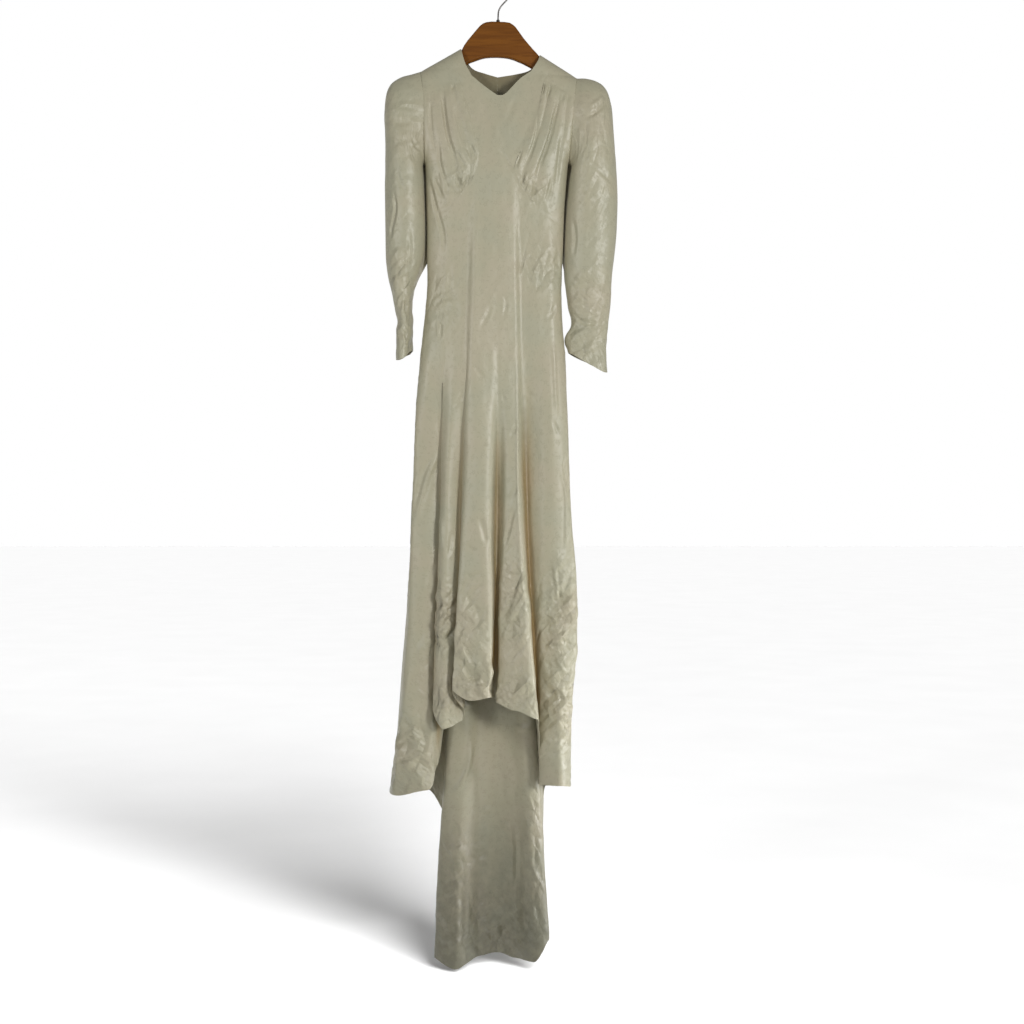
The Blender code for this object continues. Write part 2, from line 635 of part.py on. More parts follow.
def add_plastron_arm(sheet, side, strip, rows_down):
    """One arm of the plastron up to the shoulder. Gives its foot, outer end first."""
    neck = spread([NECK[side], *ARM_NECK[side]], rows_down)
    across = even(ARM_CELLS)
    top = [strip[0].lerp(neck[0], s) for s in across]
    foot = [strip[-1].lerp(neck[-1], s) for s in across]
    rows = patch(top, foot, strip, neck, across, rows_down)
    if side == LEFT:
        rows = [row[::-1] for row in rows]
    sheet.add("front_panel", lifted(rows, FRONT))
    return foot


def add_skirt(sheet, piece, first, last):
    """Skirt of a piece between two columns, from the empire seam's level to the hem."""
    rows = []
    for r in range(SKIRT_ROWS + 1):
        down = r / SKIRT_ROWS
        row = []
        for c in range(first, last + 1):
            top, low = skirt_top(c), column_hem(c)
            row.append(on_column(c, top + (low - top) * down))
        rows.append(row)
    sheet.add(piece, rows)


def add_back(sheet, side, first, last):
    """One half of the back: bodice from the shoulder and neck, and skirt to the train's hem."""
    name = "right" if side == RIGHT else "left"
    below = [flat(on_column(c, skirt_top(c))) for c in range(first, last + 1)]
    outer = edge_points(side)
    dip = Vector(BACK_NECK_DIP)
    neck_cells = last - first - BACK_SHOULDER_CELLS
    shoulder = [TIP[side].lerp(NECK[side], k / BACK_SHOULDER_CELLS) for k in range(BACK_SHOULDER_CELLS)]
    top = shoulder + spread([NECK[side], *BACK_NECK[side], dip], from_shoulder(neck_cells))
    centre_low = below[-1] if side == LEFT else below[0]
    centre = [dip.lerp(centre_low, share) for share in down_shares(outer)]
    if side == RIGHT:
        top = top[::-1]
    across = shares(below)
    edges = [outer, centre] if side == LEFT else [centre, outer]
    rows = lifted(patch(top, below, *edges, across, down_shares(outer)), BACK)
    rows[-1] = [on_column(c, skirt_top(c)) for c in range(first, last + 1)]
    sheet.add("bodice_back_" + name, rows)
    add_skirt(sheet, "skirt_back_" + name, first, last)


# ---------------------------------------------------------------- sleeves
def armhole_loop(side):
    """Armhole points round from the shoulder over the front and back up to the shoulder."""
    edge = edge_points(side)[:ARMHOLE_ROWS + 1]
    loop = [Vector((p.x, sheet_y(p.x, p.y, FRONT), p.y)) for p in edge]
    loop += [Vector((p.x, sheet_y(p.x, p.y, BACK), p.y)) for p in edge[-2:0:-1]]
    return loop


def add_sleeve(sheet, piece, side):
    """One sleeve from the armhole to the pointed cuff."""
    loop = armhole_loop(side)
    rows = [loop]
    count = len(loop)
    for name, outer_x, outer_z, inner_x, inner_z, half_y in SLEEVES[side]:
        outer, inner = Vector((outer_x, 0.0, outer_z)), Vector((inner_x, 0.0, inner_z))
        ring = []
        for k in range(count):
            turn = 2.0 * math.pi * k / count
            up = math.cos(turn)
            out = math.sin(turn)
            up = math.copysign(abs(up) ** (2.0 / SLEEVE_POWER), up)
            out = math.copysign(abs(out) ** (2.0 / SLEEVE_POWER), out)
            point = inner.lerp(outer, (1.0 + up) / 2.0)
            point.y = -half_y * out
            if name == "hem":
                away = math.cos(turn - math.radians(CUFF_POINT_TURN[side]))
                point.z -= CUFF_POINT[side] * max(away, 0.0) ** 1.5
            ring.append(point)
        rows.append(ring)
    closed = [row + [row[0]] for row in rows]
    if side == LEFT:
        closed = [row[::-1] for row in closed]
    sheet.add(piece, closed)


def fix_corner_normals(sheet):
    """Set the wall's direction along the shoulder seams and round the armholes."""
    for side in (RIGHT, LEFT):
        loop = armhole_loop(side)
        middle_z = (loop[0].z + ARMPIT_Z) / 2.0
        half_z = loop[0].z - middle_z
        for point in loop[1:]:
            half_y = ARMHOLE_DEPTH[FRONT if point.y <= 0.0 else BACK]
            sheet.fix_normal(point, (0.0, point.y / half_y ** 2, (point.z - middle_z) / half_z ** 2))
        run = NECK[side] - TIP[side]
        up = Vector((-run.y, 0.0, run.x)) * (1.0 if run.x > 0.0 else -1.0)
        for number, point in enumerate(sheet.points):
            if point.x * side > 0.0 and abs(point.z - top_line(point.x)) < 1e-5:
                sheet.fixed_normals[number] = up.normalized()


# ---------------------------------------------------------------- objects
def material(name, colour, roughness, metallic=0.0):
    made = bpy.data.materials.new(name)
    made.use_nodes = True
    shader = made.node_tree.nodes["Principled BSDF"]
    shader.inputs["Base Color"].default_value = (*colour, 1.0)
    shader.inputs["Roughness"].default_value = roughness
    shader.inputs["Metallic"].default_value = metallic
    return made


def add_object(name, vertices, faces, colour, roughness, metallic=0.0):
    """Link a mesh object whose material has its own name and finish."""
    mesh = bpy.data.meshes.new(name)
    mesh.from_pydata([tuple(v) for v in vertices], [], faces)
    mesh.validate()
    mesh.materials.append(material(name + "_finish", colour, roughness, metallic))
    for polygon in mesh.polygons:
        polygon.use_smooth = True
    made = bpy.data.objects.new(name, mesh)
    bpy.context.scene.collection.objects.link(made)
    return made


SATIN = (0.42, 0.39, 0.27)
SATIN_ROUGHNESS = 0.5
WOOD_COLOUR = (0.15, 0.05, 0.01)
STEEL_COLOUR = (0.09, 0.085, 0.08)


def make_dress():
    sheet = Sheet()
    side_left, centre = column_of("side_left"), column_of("centre_back")
    add_bodice_front(sheet)
    add_skirt(sheet, "front_panel", 0, side_left)
    add_back(sheet, LEFT, side_left, centre)
    add_back(sheet, RIGHT, centre, len(COLUMNS))
    add_sleeve(sheet, "sleeve_right", RIGHT)
    add_sleeve(sheet, "sleeve_left", LEFT)
    fix_corner_normals(sheet)
    normals = sheet.normals()
    for piece in sheet.quads:
        vertices, faces = cut_piece(sheet, normals, piece)
        add_object(piece, vertices, faces, SATIN, SATIN_ROUGHNESS)


def wood_section(x, top, bottom, half):
    """One rounded section of the hanger's wood, as it hangs."""
    corner = min(WOOD_CORNER, half * 0.96, (top - bottom) / 2.5)
    points = []
    for centre_y, centre_z, start in ((half - corner, top - corner, 0.0),
                                      (corner - half, top - corner, 90.0),
                                      (corner - half, bottom + corner, 180.0),
                                      (half - corner, bottom + corner, 270.0)):
        for k in range(4):
            turn = math.radians(start + 30.0 * k)
            place = tilted(x, centre_z + corner * math.sin(turn))
            points.append(Vector((place.x, centre_y + corner * math.cos(turn), place.y)))
    return points


def make_wood():
    """Flat wooden body: a raised middle and two arms that follow the shoulder seams."""
    seat = (WALL + SHOULDER_SEAT) / math.cos(math.atan(SHOULDER_FALL))
    halves = list(WOOD)
    for x, depth, half, lowering in ARM:
        top = SHOULDER_TOP - SHOULDER_FALL * x - seat
        halves.append((x, top - lowering, top - lowering, top - depth, half))
    profile = [(-x, top, bottom, half) for x, top, _, bottom, half in reversed(halves[1:])]
    profile += [(x, top, bottom, half) for x, _, top, bottom, half in halves]
    sections = [wood_section(*row) for row in profile]
    count = len(sections[0])
    vertices = [p for section in sections for p in section]
    faces = []
    for s in range(len(sections) - 1):
        for k in range(count):
            a, b = s * count + k, s * count + (k + 1) % count
            faces.append((a, b, b + count, a + count))
    faces.append(tuple(range(count))[::-1])
    faces.append(tuple(range(len(vertices) - count, len(vertices))))
    add_object("hanger_wood", vertices, faces, WOOD_COLOUR, 0.35)


def hook_route():
    """Centre line of the hook's wire, from its free end over the top to the wood."""
    radius = HOOK_LOOP + WIRE_RADIUS
    middle_z = -HOOK_LOOP
    steps = 26
    route = []
    for k in range(steps + 1):
        turn = math.radians(HOOK_MOUTH_ANGLE + (HOOK_NECK_ANGLE - HOOK_MOUTH_ANGLE) * k / steps)
        route.append(Vector((radius * math.cos(turn), middle_z + radius * math.sin(turn))))
    neck = route[-1]
    stem_top = Vector((0.0, neck.y - 0.027))
    away = (route[-1] - route[-2]).normalized() * 0.009
    for k in range(1, 8):
        t = k / 8
        bend = (neck * (1 - t) ** 3 + 3 * (neck + away) * t * (1 - t) ** 2
                + 3 * (stem_top + Vector((0.0, 0.012))) * t * t * (1 - t) + stem_top * t ** 3)
        route.append(bend)
    route += [stem_top, Vector((0.0, WOOD[0][1] + SEAT_GAP))]
    return [tilted(p.x, p.y) for p in route]


def make_hook():
    curve = bpy.data.curves.new("hanger_hook", "CURVE")
    curve.dimensions = "3D"
    curve.bevel_depth = WIRE_RADIUS
    curve.bevel_resolution = 2
    curve.render_resolution_u = 0
    curve.use_fill_caps = True
    route = hook_route()
    spline = curve.splines.new("POLY")
    spline.points.add(len(route) - 1)
    for point, place in zip(spline.points, route):
        point.co = (place.x, 0.0, place.y, 1.0)
    curve.materials.append(material("hanger_hook_finish", STEEL_COLOUR, 0.35, 1.0))
    made = bpy.data.objects.new("hanger_hook", curve)
    bpy.context.scene.collection.objects.link(made)


def make_ferrule():
    """Small turned collar round the foot of the hook's stem."""
    foot = WOOD[0][1] + SEAT_GAP
    bore = WIRE_RADIUS + SEAT_GAP
    outline = ((bore, foot), (FERRULE_RADIUS, foot),
               (FERRULE_RADIUS, foot + FERRULE_HEIGHT * 0.55),
               (FERRULE_RADIUS * 0.72, foot + FERRULE_HEIGHT), (bore, foot + FERRULE_HEIGHT))
    sides = 20
    vertices, faces = [], []
    for k in range(sides):
        turn = 2.0 * math.pi * k / sides
        for radius, z in outline:
            place = tilted(radius * math.cos(turn), z)
            vertices.append(Vector((place.x, radius * math.sin(turn), place.y)))
    count = len(outline)
    for k in range(sides):
        for n in range(count):
            a, b = k * count + n, k * count + (n + 1) % count
            c = (k + 1) % sides * count
            faces.append((a, c + n, c + (n + 1) % count, b))
    add_object("hanger_ferrule", vertices, faces, STEEL_COLOUR, 0.35, 1.0)


def make_button():
    """Covered button that closes the opening at the top of the centre back."""
    x = BACK_NECK_DIP[0] + BUTTON_RADIUS + 0.001
    z = BACK_NECK_DIP[1] - BUTTON_BELOW_NECK
    out = Vector((0.0, 1.0, 0.35)).normalized()
    mesh = bmesh.new()
    bmesh.ops.create_uvsphere(mesh, u_segments=14, v_segments=7, radius=BUTTON_RADIUS)
    bmesh.ops.scale(mesh, vec=(1.0, 1.0, 0.55), verts=mesh.verts)
    turn = Vector((0.0, 0.0, 1.0)).rotation_difference(out).to_matrix()
    bmesh.ops.rotate(mesh, matrix=turn, verts=mesh.verts)
    y = sheet_y(x, z, BACK) + BUTTON_RADIUS * 0.55 + 0.0012
    bmesh.ops.translate(mesh, vec=(x, y, z), verts=mesh.verts)
    vertices = [v.co.copy() for v in mesh.verts]
    faces = [[v.index for v in face.verts] for face in mesh.faces]
    mesh.free()
    add_object("neck_button", vertices, faces, SATIN, SATIN_ROUGHNESS)


def clear_scene():
    for old in list(bpy.data.objects):
        bpy.data.objects.remove(old)


clear_scene()
make_dress()
make_wood()
make_hook()
make_ferrule()
make_button()
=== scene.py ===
# %% [markdown]
# # A satin wedding dress on its wooden hanger
#
# The real dress is cut from a slippery ivory satin with small figures woven into it: a
# plastron that runs on as the skirt front, gathered bust pieces under shallow yokes, a
# back in two halves with a long pointed train, and long sleeves with a puffed head.
#
# The CAD part holds the garment's true form with its largest folds. This lesson lays the
# same form out again on a much finer grid, places the creases, crumples and seams on it,
# cuts each piece as a thin wall, and gives every surface its finish.

# %% The fixed frame
import math

import bpy
import numpy as np
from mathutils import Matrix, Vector
from mathutils.kdtree import KDTree


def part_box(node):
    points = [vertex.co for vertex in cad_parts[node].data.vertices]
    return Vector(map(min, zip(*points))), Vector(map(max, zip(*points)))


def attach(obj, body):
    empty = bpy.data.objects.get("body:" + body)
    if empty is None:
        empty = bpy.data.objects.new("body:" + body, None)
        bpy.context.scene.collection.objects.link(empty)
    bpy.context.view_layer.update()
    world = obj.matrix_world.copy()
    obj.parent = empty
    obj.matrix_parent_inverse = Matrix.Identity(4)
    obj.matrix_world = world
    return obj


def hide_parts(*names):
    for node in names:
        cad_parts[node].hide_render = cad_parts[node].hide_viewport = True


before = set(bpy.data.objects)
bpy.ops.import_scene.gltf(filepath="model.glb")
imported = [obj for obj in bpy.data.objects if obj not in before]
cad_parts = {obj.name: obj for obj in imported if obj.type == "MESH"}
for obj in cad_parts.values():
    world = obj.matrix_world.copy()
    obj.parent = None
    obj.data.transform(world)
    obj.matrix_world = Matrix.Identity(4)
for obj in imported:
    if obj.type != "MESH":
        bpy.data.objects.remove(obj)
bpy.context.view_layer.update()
bpy.ops.object.select_all(action="DESELECT")
print("CAD nodes:", ", ".join(sorted(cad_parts)))

# %% [markdown]
# ## Sizes of the cloth
#
# Satin hangs as a wall about a millimetre thick once its seam allowances are counted in.
# It could be a single sheet with no thickness, but its hems, cuffs and neck show their
# edges, so every piece gets an outer and an inner side. Pieces that are sewn together
# stop a hair's breadth apart, and the finer grid has a whole number of cells
# for each cell of the construction, so that seams still share their points.

# %% Driving sizes
WALL = 0.0012              # the satin and its seam allowances
SEAM_GAP = 0.00004         # between two walls that meet at a seam
FELLED_GAP = 0.00001       # in the train's flat felled seam
MERGE_CELL = 1e-5          # points closer than this are one
MERGE_SHIFT = 0.237        # keeps round sizes off the borders of those cells
MM = 1000.0                # millimetres in a metre, for the tables that are given in them
HANGER_TILT = math.radians(1.5)   # the dress pulls its left shoulder down a little

RIGHT = -1                 # the wearer's right, at -X
LEFT = 1                   # the wearer's left, at +X
FRONT = -1                 # the sheet at -Y
BACK = 1                   # the sheet at +Y

FINE_FRONT = 3             # fine cells for each cell of the front's folds
FINE_BACK = 8              # and of the back's
FINE_DOWN = 8              # fine rows for each row of the bodice
SKIRT_ROWS = 245           # from the empire seam to the hem
SKIRT_GRADING = 0.30       # above 0, rows are closer together towards the hem

SHOULDER_TOP = -0.094      # height at which the two shoulder lines would cross
SHOULDER_FALL = 0.60       # drop for each metre outwards
NECK_POINT = {RIGHT: -0.078, LEFT: 0.092}   # where the neck opening starts
ARM_STRIP = {RIGHT: -0.103, LEFT: 0.119}    # outer edge of the plastron's neck arm
SHOULDER_ROUNDING = 0.042  # depth over which front and back part below the shoulder
ARMHOLE_BLEND = 0.022      # how far up and down the armhole's swell blends into the bust
BLEND_TOP, BLEND_FADE = 0.075, 0.045       # the blend ends this far above the armpit
BLEND_STEPS = ((-2, 1), (-1, 2), (0, 3), (1, 2), (2, 1))    # steps and their weights, of 9
RING_POWER = 2.6           # squareness of the flattened rings
SHOULDER_SQUARING = 1.8    # and how much squarer they get up at the shoulder seams
print(f"satin wall {WALL * MM:.1f} mm, {SKIRT_ROWS} rows down the skirt")

# %% [markdown]
# ## The rings and the folds
#
# A hanging dress is a flattened tube. Its rings give the two side edges and how far the
# front and the back stand off the middle at each height. The skirt's folds are lines that
# run down over those rings: each crest or valley leaves the plain ring at one height,
# and passes through a place at the knee, at the hem and, in the train, at its foot.
# A cloth simulation could make folds too, but these have to fall where the maker's
# flared panels put them, so they are drawn as a table.

# %% Rings and folds
RINGS = (
    # z,      right,  left,  front, back
    (-0.140, -0.173, 0.173, 0.026, 0.024),
    (-0.190, -0.168, 0.169, 0.028, 0.026),
    (-0.245, -0.161, 0.162, 0.032, 0.028),
    (-0.334, -0.160, 0.155, 0.040, 0.029),
    (-0.409, -0.158, 0.147, 0.042, 0.029),
    (-0.484, -0.156, 0.141, 0.037, 0.028),
    (-0.570, -0.155, 0.138, 0.033, 0.028),
    (-0.667, -0.155, 0.134, 0.034, 0.033),
    (-0.731, -0.161, 0.136, 0.036, 0.036),
    (-0.796, -0.168, 0.142, 0.036, 0.038),
    (-0.893, -0.176, 0.146, 0.036, 0.039),
    (-1.022, -0.183, 0.151, 0.036, 0.040),
    (-1.151, -0.189, 0.157, 0.036, 0.042),
    (-1.280, -0.195, 0.168, 0.037, 0.048),
    (-1.409, -0.202, 0.169, 0.038, 0.055),
    (-1.538, -0.214, 0.159, 0.040, 0.060),
    (-1.667, -0.227, 0.156, 0.040, 0.066),
    (-1.742, -0.238, 0.157, 0.040, 0.070),
)

TOP_Z = -0.500
KNEE_Z = -1.108
HEM_Z = -1.538
TRAIN_Z = -2.080
FRONT_FOLDS = (
    # name,        cells, top_x,  from_z, knee_x, knee_y, hem_x,  hem_y,  hem_z
    ("side_right",     3, -0.154, -0.893, -0.188,  0.012, -0.218,  0.040, -1.743),
    ("wedge_crest",    3, -0.144, -0.807, -0.170,  0.000, -0.205,  0.006, -1.745),
    ("wedge_edge",     3, -0.136, -0.742, -0.142,  0.000, -0.150,  0.000, -1.731),
    ("wedge_valley",   2, -0.129, -0.742, -0.128,  0.004, -0.132,  0.015, -1.680),
    ("fold_back",      2, -0.121, -0.742, -0.119,  0.000, -0.122,  0.009, -1.600),
    ("front_edge",     3, -0.108, -0.721, -0.125, -0.010, -0.143, -0.014, -1.551),
    ("lobe_crest",     3, -0.083, -0.785, -0.111, -0.026, -0.117, -0.036, -1.595),
    ("lobe_trough",    2, -0.065, -0.807, -0.086, -0.014, -0.080, -0.018, -1.580),
    ("ridge_a_root",   2, -0.055, -0.750, -0.079, -0.021, -0.077, -0.030, -1.550),
    ("ridge_a_right",  3, -0.043, -0.678, -0.072, -0.037, -0.103, -0.054, -1.510),
    ("ridge_a",        3, -0.028, -0.678, -0.044, -0.044, -0.060, -0.060, -1.532),
    ("ridge_a_left",   3, -0.013, -0.678, -0.018, -0.042, -0.016, -0.060, -1.525),
    ("trough_1_right", 2, -0.002, -0.850, -0.006, -0.017, -0.014, -0.021, -1.530),
    ("trough_1_left",  2,  0.006, -0.850,  0.003, -0.018, -0.004, -0.019, -1.536),
    ("ridge_b_right",  3,  0.017, -0.893,  0.013, -0.032, -0.004, -0.038, -1.539),
    ("ridge_b",        4,  0.032, -0.893,  0.034, -0.037,  0.034, -0.052, -1.554),
    ("ridge_b_left",   4,  0.050, -0.893,  0.044, -0.036,  0.080, -0.050, -1.572),
    ("trough_2",       4,  0.070, -0.742,  0.060, -0.002,  0.081,  0.002, -1.650),
    ("ridge_c_right",  4,  0.096, -0.764,  0.097, -0.018,  0.090, -0.008, -1.719),
    ("ridge_c",        4,  0.119, -0.764,  0.133, -0.018,  0.131, -0.020, -1.719),
    ("side_left",      2,  0.138, -0.893,  0.154,  0.004,  0.158,  0.016, -1.726),
)
BACK_FOLDS = (
    # name,    cells, top_x, from_z, knee_x, knee_y, hem_x, hem_y, foot_x, foot_y, hem_z
    ("turn_left",      2,  0.123, -0.893,  0.132, 0.026,  0.140, 0.056,  0.140, 0.056, -1.733),
    ("side_hem_left",  2,  0.093, -0.893,  0.100, 0.036,  0.103, 0.086,  0.103, 0.086, -1.738),
    ("wall_left",      2,  0.067, -0.936,  0.080, 0.040,  0.090, 0.082,  0.098, 0.075, -1.826),
    ("edge_left",      2,  0.043, -0.936,  0.064, 0.028,  0.077, 0.046,  0.107, 0.036, -2.064),
    ("lobe_left",      2,  0.021, -0.936,  0.043, 0.030,  0.056, 0.040,  0.074, 0.022, -2.108),
    ("dip_left",       2,  0.006, -0.936,  0.019, 0.036,  0.030, 0.054,  0.035, 0.050, -2.107),
    ("centre_back",    2, -0.009, -0.936, -0.005, 0.040, -0.005, 0.066, -0.005, 0.066, -2.099),
    ("dip_right",      2, -0.024, -0.936, -0.029, 0.038, -0.040, 0.062, -0.046, 0.056, -2.105),
    ("ridge_right",    2, -0.045, -0.936, -0.052, 0.032, -0.072, 0.046, -0.092, 0.018, -2.122),
    ("edge_right",     2, -0.067, -0.936, -0.076, 0.030, -0.107, 0.050, -0.140, 0.042, -2.104),
    ("wall_right",     2, -0.088, -0.936, -0.094, 0.042, -0.116, 0.092, -0.129, 0.080, -1.795),
    ("side_hem_right", 2, -0.114, -0.893, -0.133, 0.044, -0.159, 0.104, -0.159, 0.104, -1.750),
    ("turn_right",     2, -0.140, -0.893, -0.174, 0.034, -0.214, 0.080, -0.214, 0.080, -1.753),
)
print(f"{len(RINGS)} rings, {len(FRONT_FOLDS) + len(BACK_FOLDS)} folds")

# %% [markdown]
# ## The bodice seams
#
# The yokes, the plastron and the gathered bust pieces meet along curved seams. Each seam
# is a few places seen from the front, in metres, and a smooth curve runs through them.
# The gathers are given by where each valley starts at the yoke and ends at the empire
# seam, and by how high the cloth puffs up between them.

# %% Bodice seams and gathers
# Bodice seams, as places (x, z) on the front or the back sheet
ARMPIT_Z = -0.387
ARMHOLE_DEPTH = {FRONT: 0.034, BACK: 0.030}
YOKE_ROWS = 4              # from the shoulder to the yoke's lower edge
ARMHOLE_ROWS = 11          # from the shoulder to the armpit
BODICE_ROWS = 14           # from the shoulder to the empire seam
APEX_ROW_FOLDS = ("ridge_a_right", "ridge_b")    # the empire seam's inner ends
EMPIRE_SEAM = {            # height of the empire seam along x, side to apex
    RIGHT: ((-0.154, -0.501), (-0.110, -0.486), (-0.083, -0.461), (-0.066, -0.435),
            (-0.053, -0.417), (-0.043, -0.396)),
    LEFT: ((0.138, -0.522), (0.103, -0.499), (0.081, -0.478), (0.062, -0.460),
           (0.045, -0.433), (0.032, -0.409)),
}
YOKE_EDGE_MIDDLE = {RIGHT: (-0.126, -0.232), LEFT: (0.139, -0.236)}
STRIP_CURVE = {RIGHT: (-0.094, -0.189), LEFT: (0.108, -0.193)}
YOKE_CORNER = {RIGHT: (-0.081, -0.217), LEFT: (0.0965, -0.213)}
PLASTRON_EDGE = {          # between the yoke's corner and the empire seam's apex
    RIGHT: ((-0.063, -0.281), (-0.045, -0.347)),
    LEFT: ((0.079, -0.287), (0.058, -0.341), (0.037, -0.386)),
}
NECK_DIP = (-0.004, -0.245)
ARM_NECK = {               # neckline along the plastron's arms, from the shoulder
    RIGHT: ((-0.0725, -0.174), (-0.058, -0.203)),
    LEFT: ((0.083, -0.170), (0.069, -0.193)),
}
FRONT_NECK = {             # and on to the dip, from either arm
    RIGHT: ((-0.032, -0.225),),
    LEFT: ((0.045, -0.210), (0.013, -0.243)),
}
ARM_CELLS = 3
NECK_CELLS = 5
NECK_GRADING = 1.5         # above 1, the back neck's cells are shorter near the shoulder
BACK_NECK_DIP = (-0.003, -0.192)
BACK_NECK = {
    RIGHT: ((-0.059, -0.172), (-0.030, -0.184)),
    LEFT: ((0.068, -0.176), (0.034, -0.186)),
}
BACK_SHOULDER_CELLS = 6    # the rest of a back's columns end at the neck

# Gathers of the bust pieces: where each valley starts and ends across the piece,
# from 0 at the side to 1 at the plastron, and how high the cloth puffs up after it
GATHERS = {
    RIGHT: (
        # at yoke, at seam, puff
        (0.00, 0.00, 0.0014),
        (0.16, 0.30, 0.0028),
        (0.47, 0.62, 0.0044),
        (0.78, 0.86, 0.0026),
        (1.00, 1.00, 0.0000),
    ),
    LEFT: (
        (0.00, 0.00, 0.0016),
        (0.22, 0.26, 0.0028),
        (0.45, 0.62, 0.0046),
        (0.80, 0.86, 0.0026),
        (1.00, 1.00, 0.0000),
    ),
}
print(f"{len(GATHERS[RIGHT]) + len(GATHERS[LEFT]) - 2} gathers over the bust")

# %% [markdown]
# ## The sleeves
#
# A sleeve is a tube whose first ring is the armhole itself, standing upright. The rings
# turn about the armpit until they lie level round the arm, then narrow to the wrist, and
# the cuff ends in a point over the hand.

# %% Sleeve rings
# Sleeves: each ring turns about the armpit, from the upright armhole to the level
# rings of the arm. Its outer and inner ends, and its half width from front to back.
SLEEVES = {
    RIGHT: (
        # name,     outer_x, outer_z, inner_x, inner_z, half_y
        ("head_rise",  -0.187, -0.194, -0.1620, -0.389, 0.040),
        ("head_top",   -0.213, -0.202, -0.1625, -0.394, 0.046),
        ("head_turn",  -0.234, -0.220, -0.1622, -0.402, 0.050),
        ("head_side",  -0.243, -0.252, -0.1614, -0.412, 0.053),
        ("upper",      -0.245, -0.302, -0.1606, -0.426, 0.055),
        ("biceps",     -0.245, -0.368, -0.1600, -0.444, 0.055),
        ("low_biceps", -0.245, -0.440, -0.1590, -0.478, 0.053),
        ("elbow_top",  -0.245, -0.520, -0.1580, -0.532, 0.050),
        ("elbow",      -0.244, -0.588, -0.1615, -0.588, 0.048),
        ("forearm",    -0.237, -0.639, -0.1760, -0.639, 0.045),
        ("low_arm",    -0.226, -0.684, -0.1870, -0.684, 0.042),
        ("wrist",      -0.219, -0.727, -0.1870, -0.727, 0.040),
        ("cuff",       -0.223, -0.770, -0.1860, -0.762, 0.043),
        ("hem",        -0.221, -0.806, -0.1880, -0.784, 0.044),
    ),
    LEFT: (
        ("head_rise",   0.187, -0.203, 0.1540, -0.389, 0.038),
        ("head_top",    0.209, -0.209, 0.1555, -0.394, 0.042),
        ("head_turn",   0.226, -0.221, 0.1545, -0.402, 0.044),
        ("head_side",   0.238, -0.245, 0.1525, -0.412, 0.046),
        ("upper",       0.246, -0.296, 0.1505, -0.427, 0.047),
        ("biceps",      0.251, -0.361, 0.1483, -0.447, 0.047),
        ("low_biceps",  0.255, -0.438, 0.1450, -0.482, 0.045),
        ("elbow_top",   0.255, -0.504, 0.1423, -0.526, 0.042),
        ("elbow",       0.251, -0.566, 0.1408, -0.572, 0.039),
        ("forearm",     0.243, -0.632, 0.1400, -0.632, 0.034),
        ("low_arm",     0.241, -0.688, 0.1480, -0.688, 0.028),
        ("wrist",       0.236, -0.731, 0.1545, -0.731, 0.021),
        ("cuff",        0.233, -0.774, 0.1420, -0.762, 0.020),
        ("hem",         0.232, -0.829, 0.1475, -0.792, 0.022),
    ),
}
CUFF_POINT = {RIGHT: 0.013, LEFT: 0.008}     # how far the cuff runs down over the hand
CUFF_POINT_TURN = {RIGHT: 100.0, LEFT: 50.0}  # where round the cuff the point is, degrees
SLEEVE_POWER = 2.2
print(f"{len(SLEEVES[RIGHT])} rings a sleeve")

# %% [markdown]
# ## Curves through a few places
#
# Everything above is given by few numbers, so the helpers here turn a few places into a
# smooth line. They take whole arrays at once, because the fine grid has some 200,000
# points and a loop over them in Python would take minutes.

# %% Curve helpers
def smooth(t):
    """Ease from 0 to 1 while t goes from 0 to 1."""
    t = np.clip(t, 0.0, 1.0)
    return t * t * (3.0 - 2.0 * t)


def catmull(before, start, end, after, t):
    """Values at share t between start and end on the smooth curve through all four."""
    return 0.5 * (2.0 * start + (end - before) * t
                  + (2.0 * before - 5.0 * start + 4.0 * end - after) * t * t
                  + (3.0 * start - before - 3.0 * end + after) * t ** 3)


def at_height(levels, z):
    """Smooth values at heights z through (height, value) pairs, listed from the top down."""
    heights, values = np.array(levels, dtype=float).T
    slopes = np.diff(values) / np.diff(heights)
    tangents = np.concatenate(([0.0], (slopes[:-1] + slopes[1:]) / 2.0, slopes[-1:]))
    i = np.clip(np.searchsorted(-heights, -z, side="right") - 1, 0, len(slopes) - 1)
    span = heights[i + 1] - heights[i]
    t = np.clip((z - heights[i]) / span, 0.0, 1.0)
    value = values[i] + (values[i + 1] - values[i]) * smooth(t)
    value += span * (tangents[i] * t * (1.0 - t) ** 2 - tangents[i + 1] * t * t * (1.0 - t))
    return value + slopes[-1] * np.minimum(z - heights[-1], 0.0)


def spread(places, shares_along):
    """Points at the given shares of the length of the smooth curve through some places."""
    places = np.array(places, dtype=float)
    ends = np.vstack((2.0 * places[0] - places[1], places, 2.0 * places[-1] - places[-2]))
    steps = np.arange(16)[:, None] / 16.0
    fine = [catmull(*ends[i:i + 4], steps) for i in range(len(places) - 1)]
    fine = np.vstack((*fine, places[-1]))
    run = np.concatenate(([0.0], np.cumsum(np.linalg.norm(np.diff(fine, axis=0), axis=1))))
    goals = np.asarray(shares_along) * run[-1]
    return np.stack([np.interp(goals, run, fine[:, k]) for k in range(fine.shape[1])], axis=-1)


def even(cells):
    """Shares that part a length into equal cells."""
    return np.arange(cells + 1) / cells


def down_shares(edge):
    """Share of the way down at each point of an edge, as (x, z)."""
    return (edge[0, 1] - edge[:, 1]) / (edge[0, 1] - edge[-1, 1])


def shares(points):
    """Share of the way from the first to the last point, measured along x."""
    return (points[:, 0] - points[0, 0]) / (points[-1, 0] - points[0, 0])


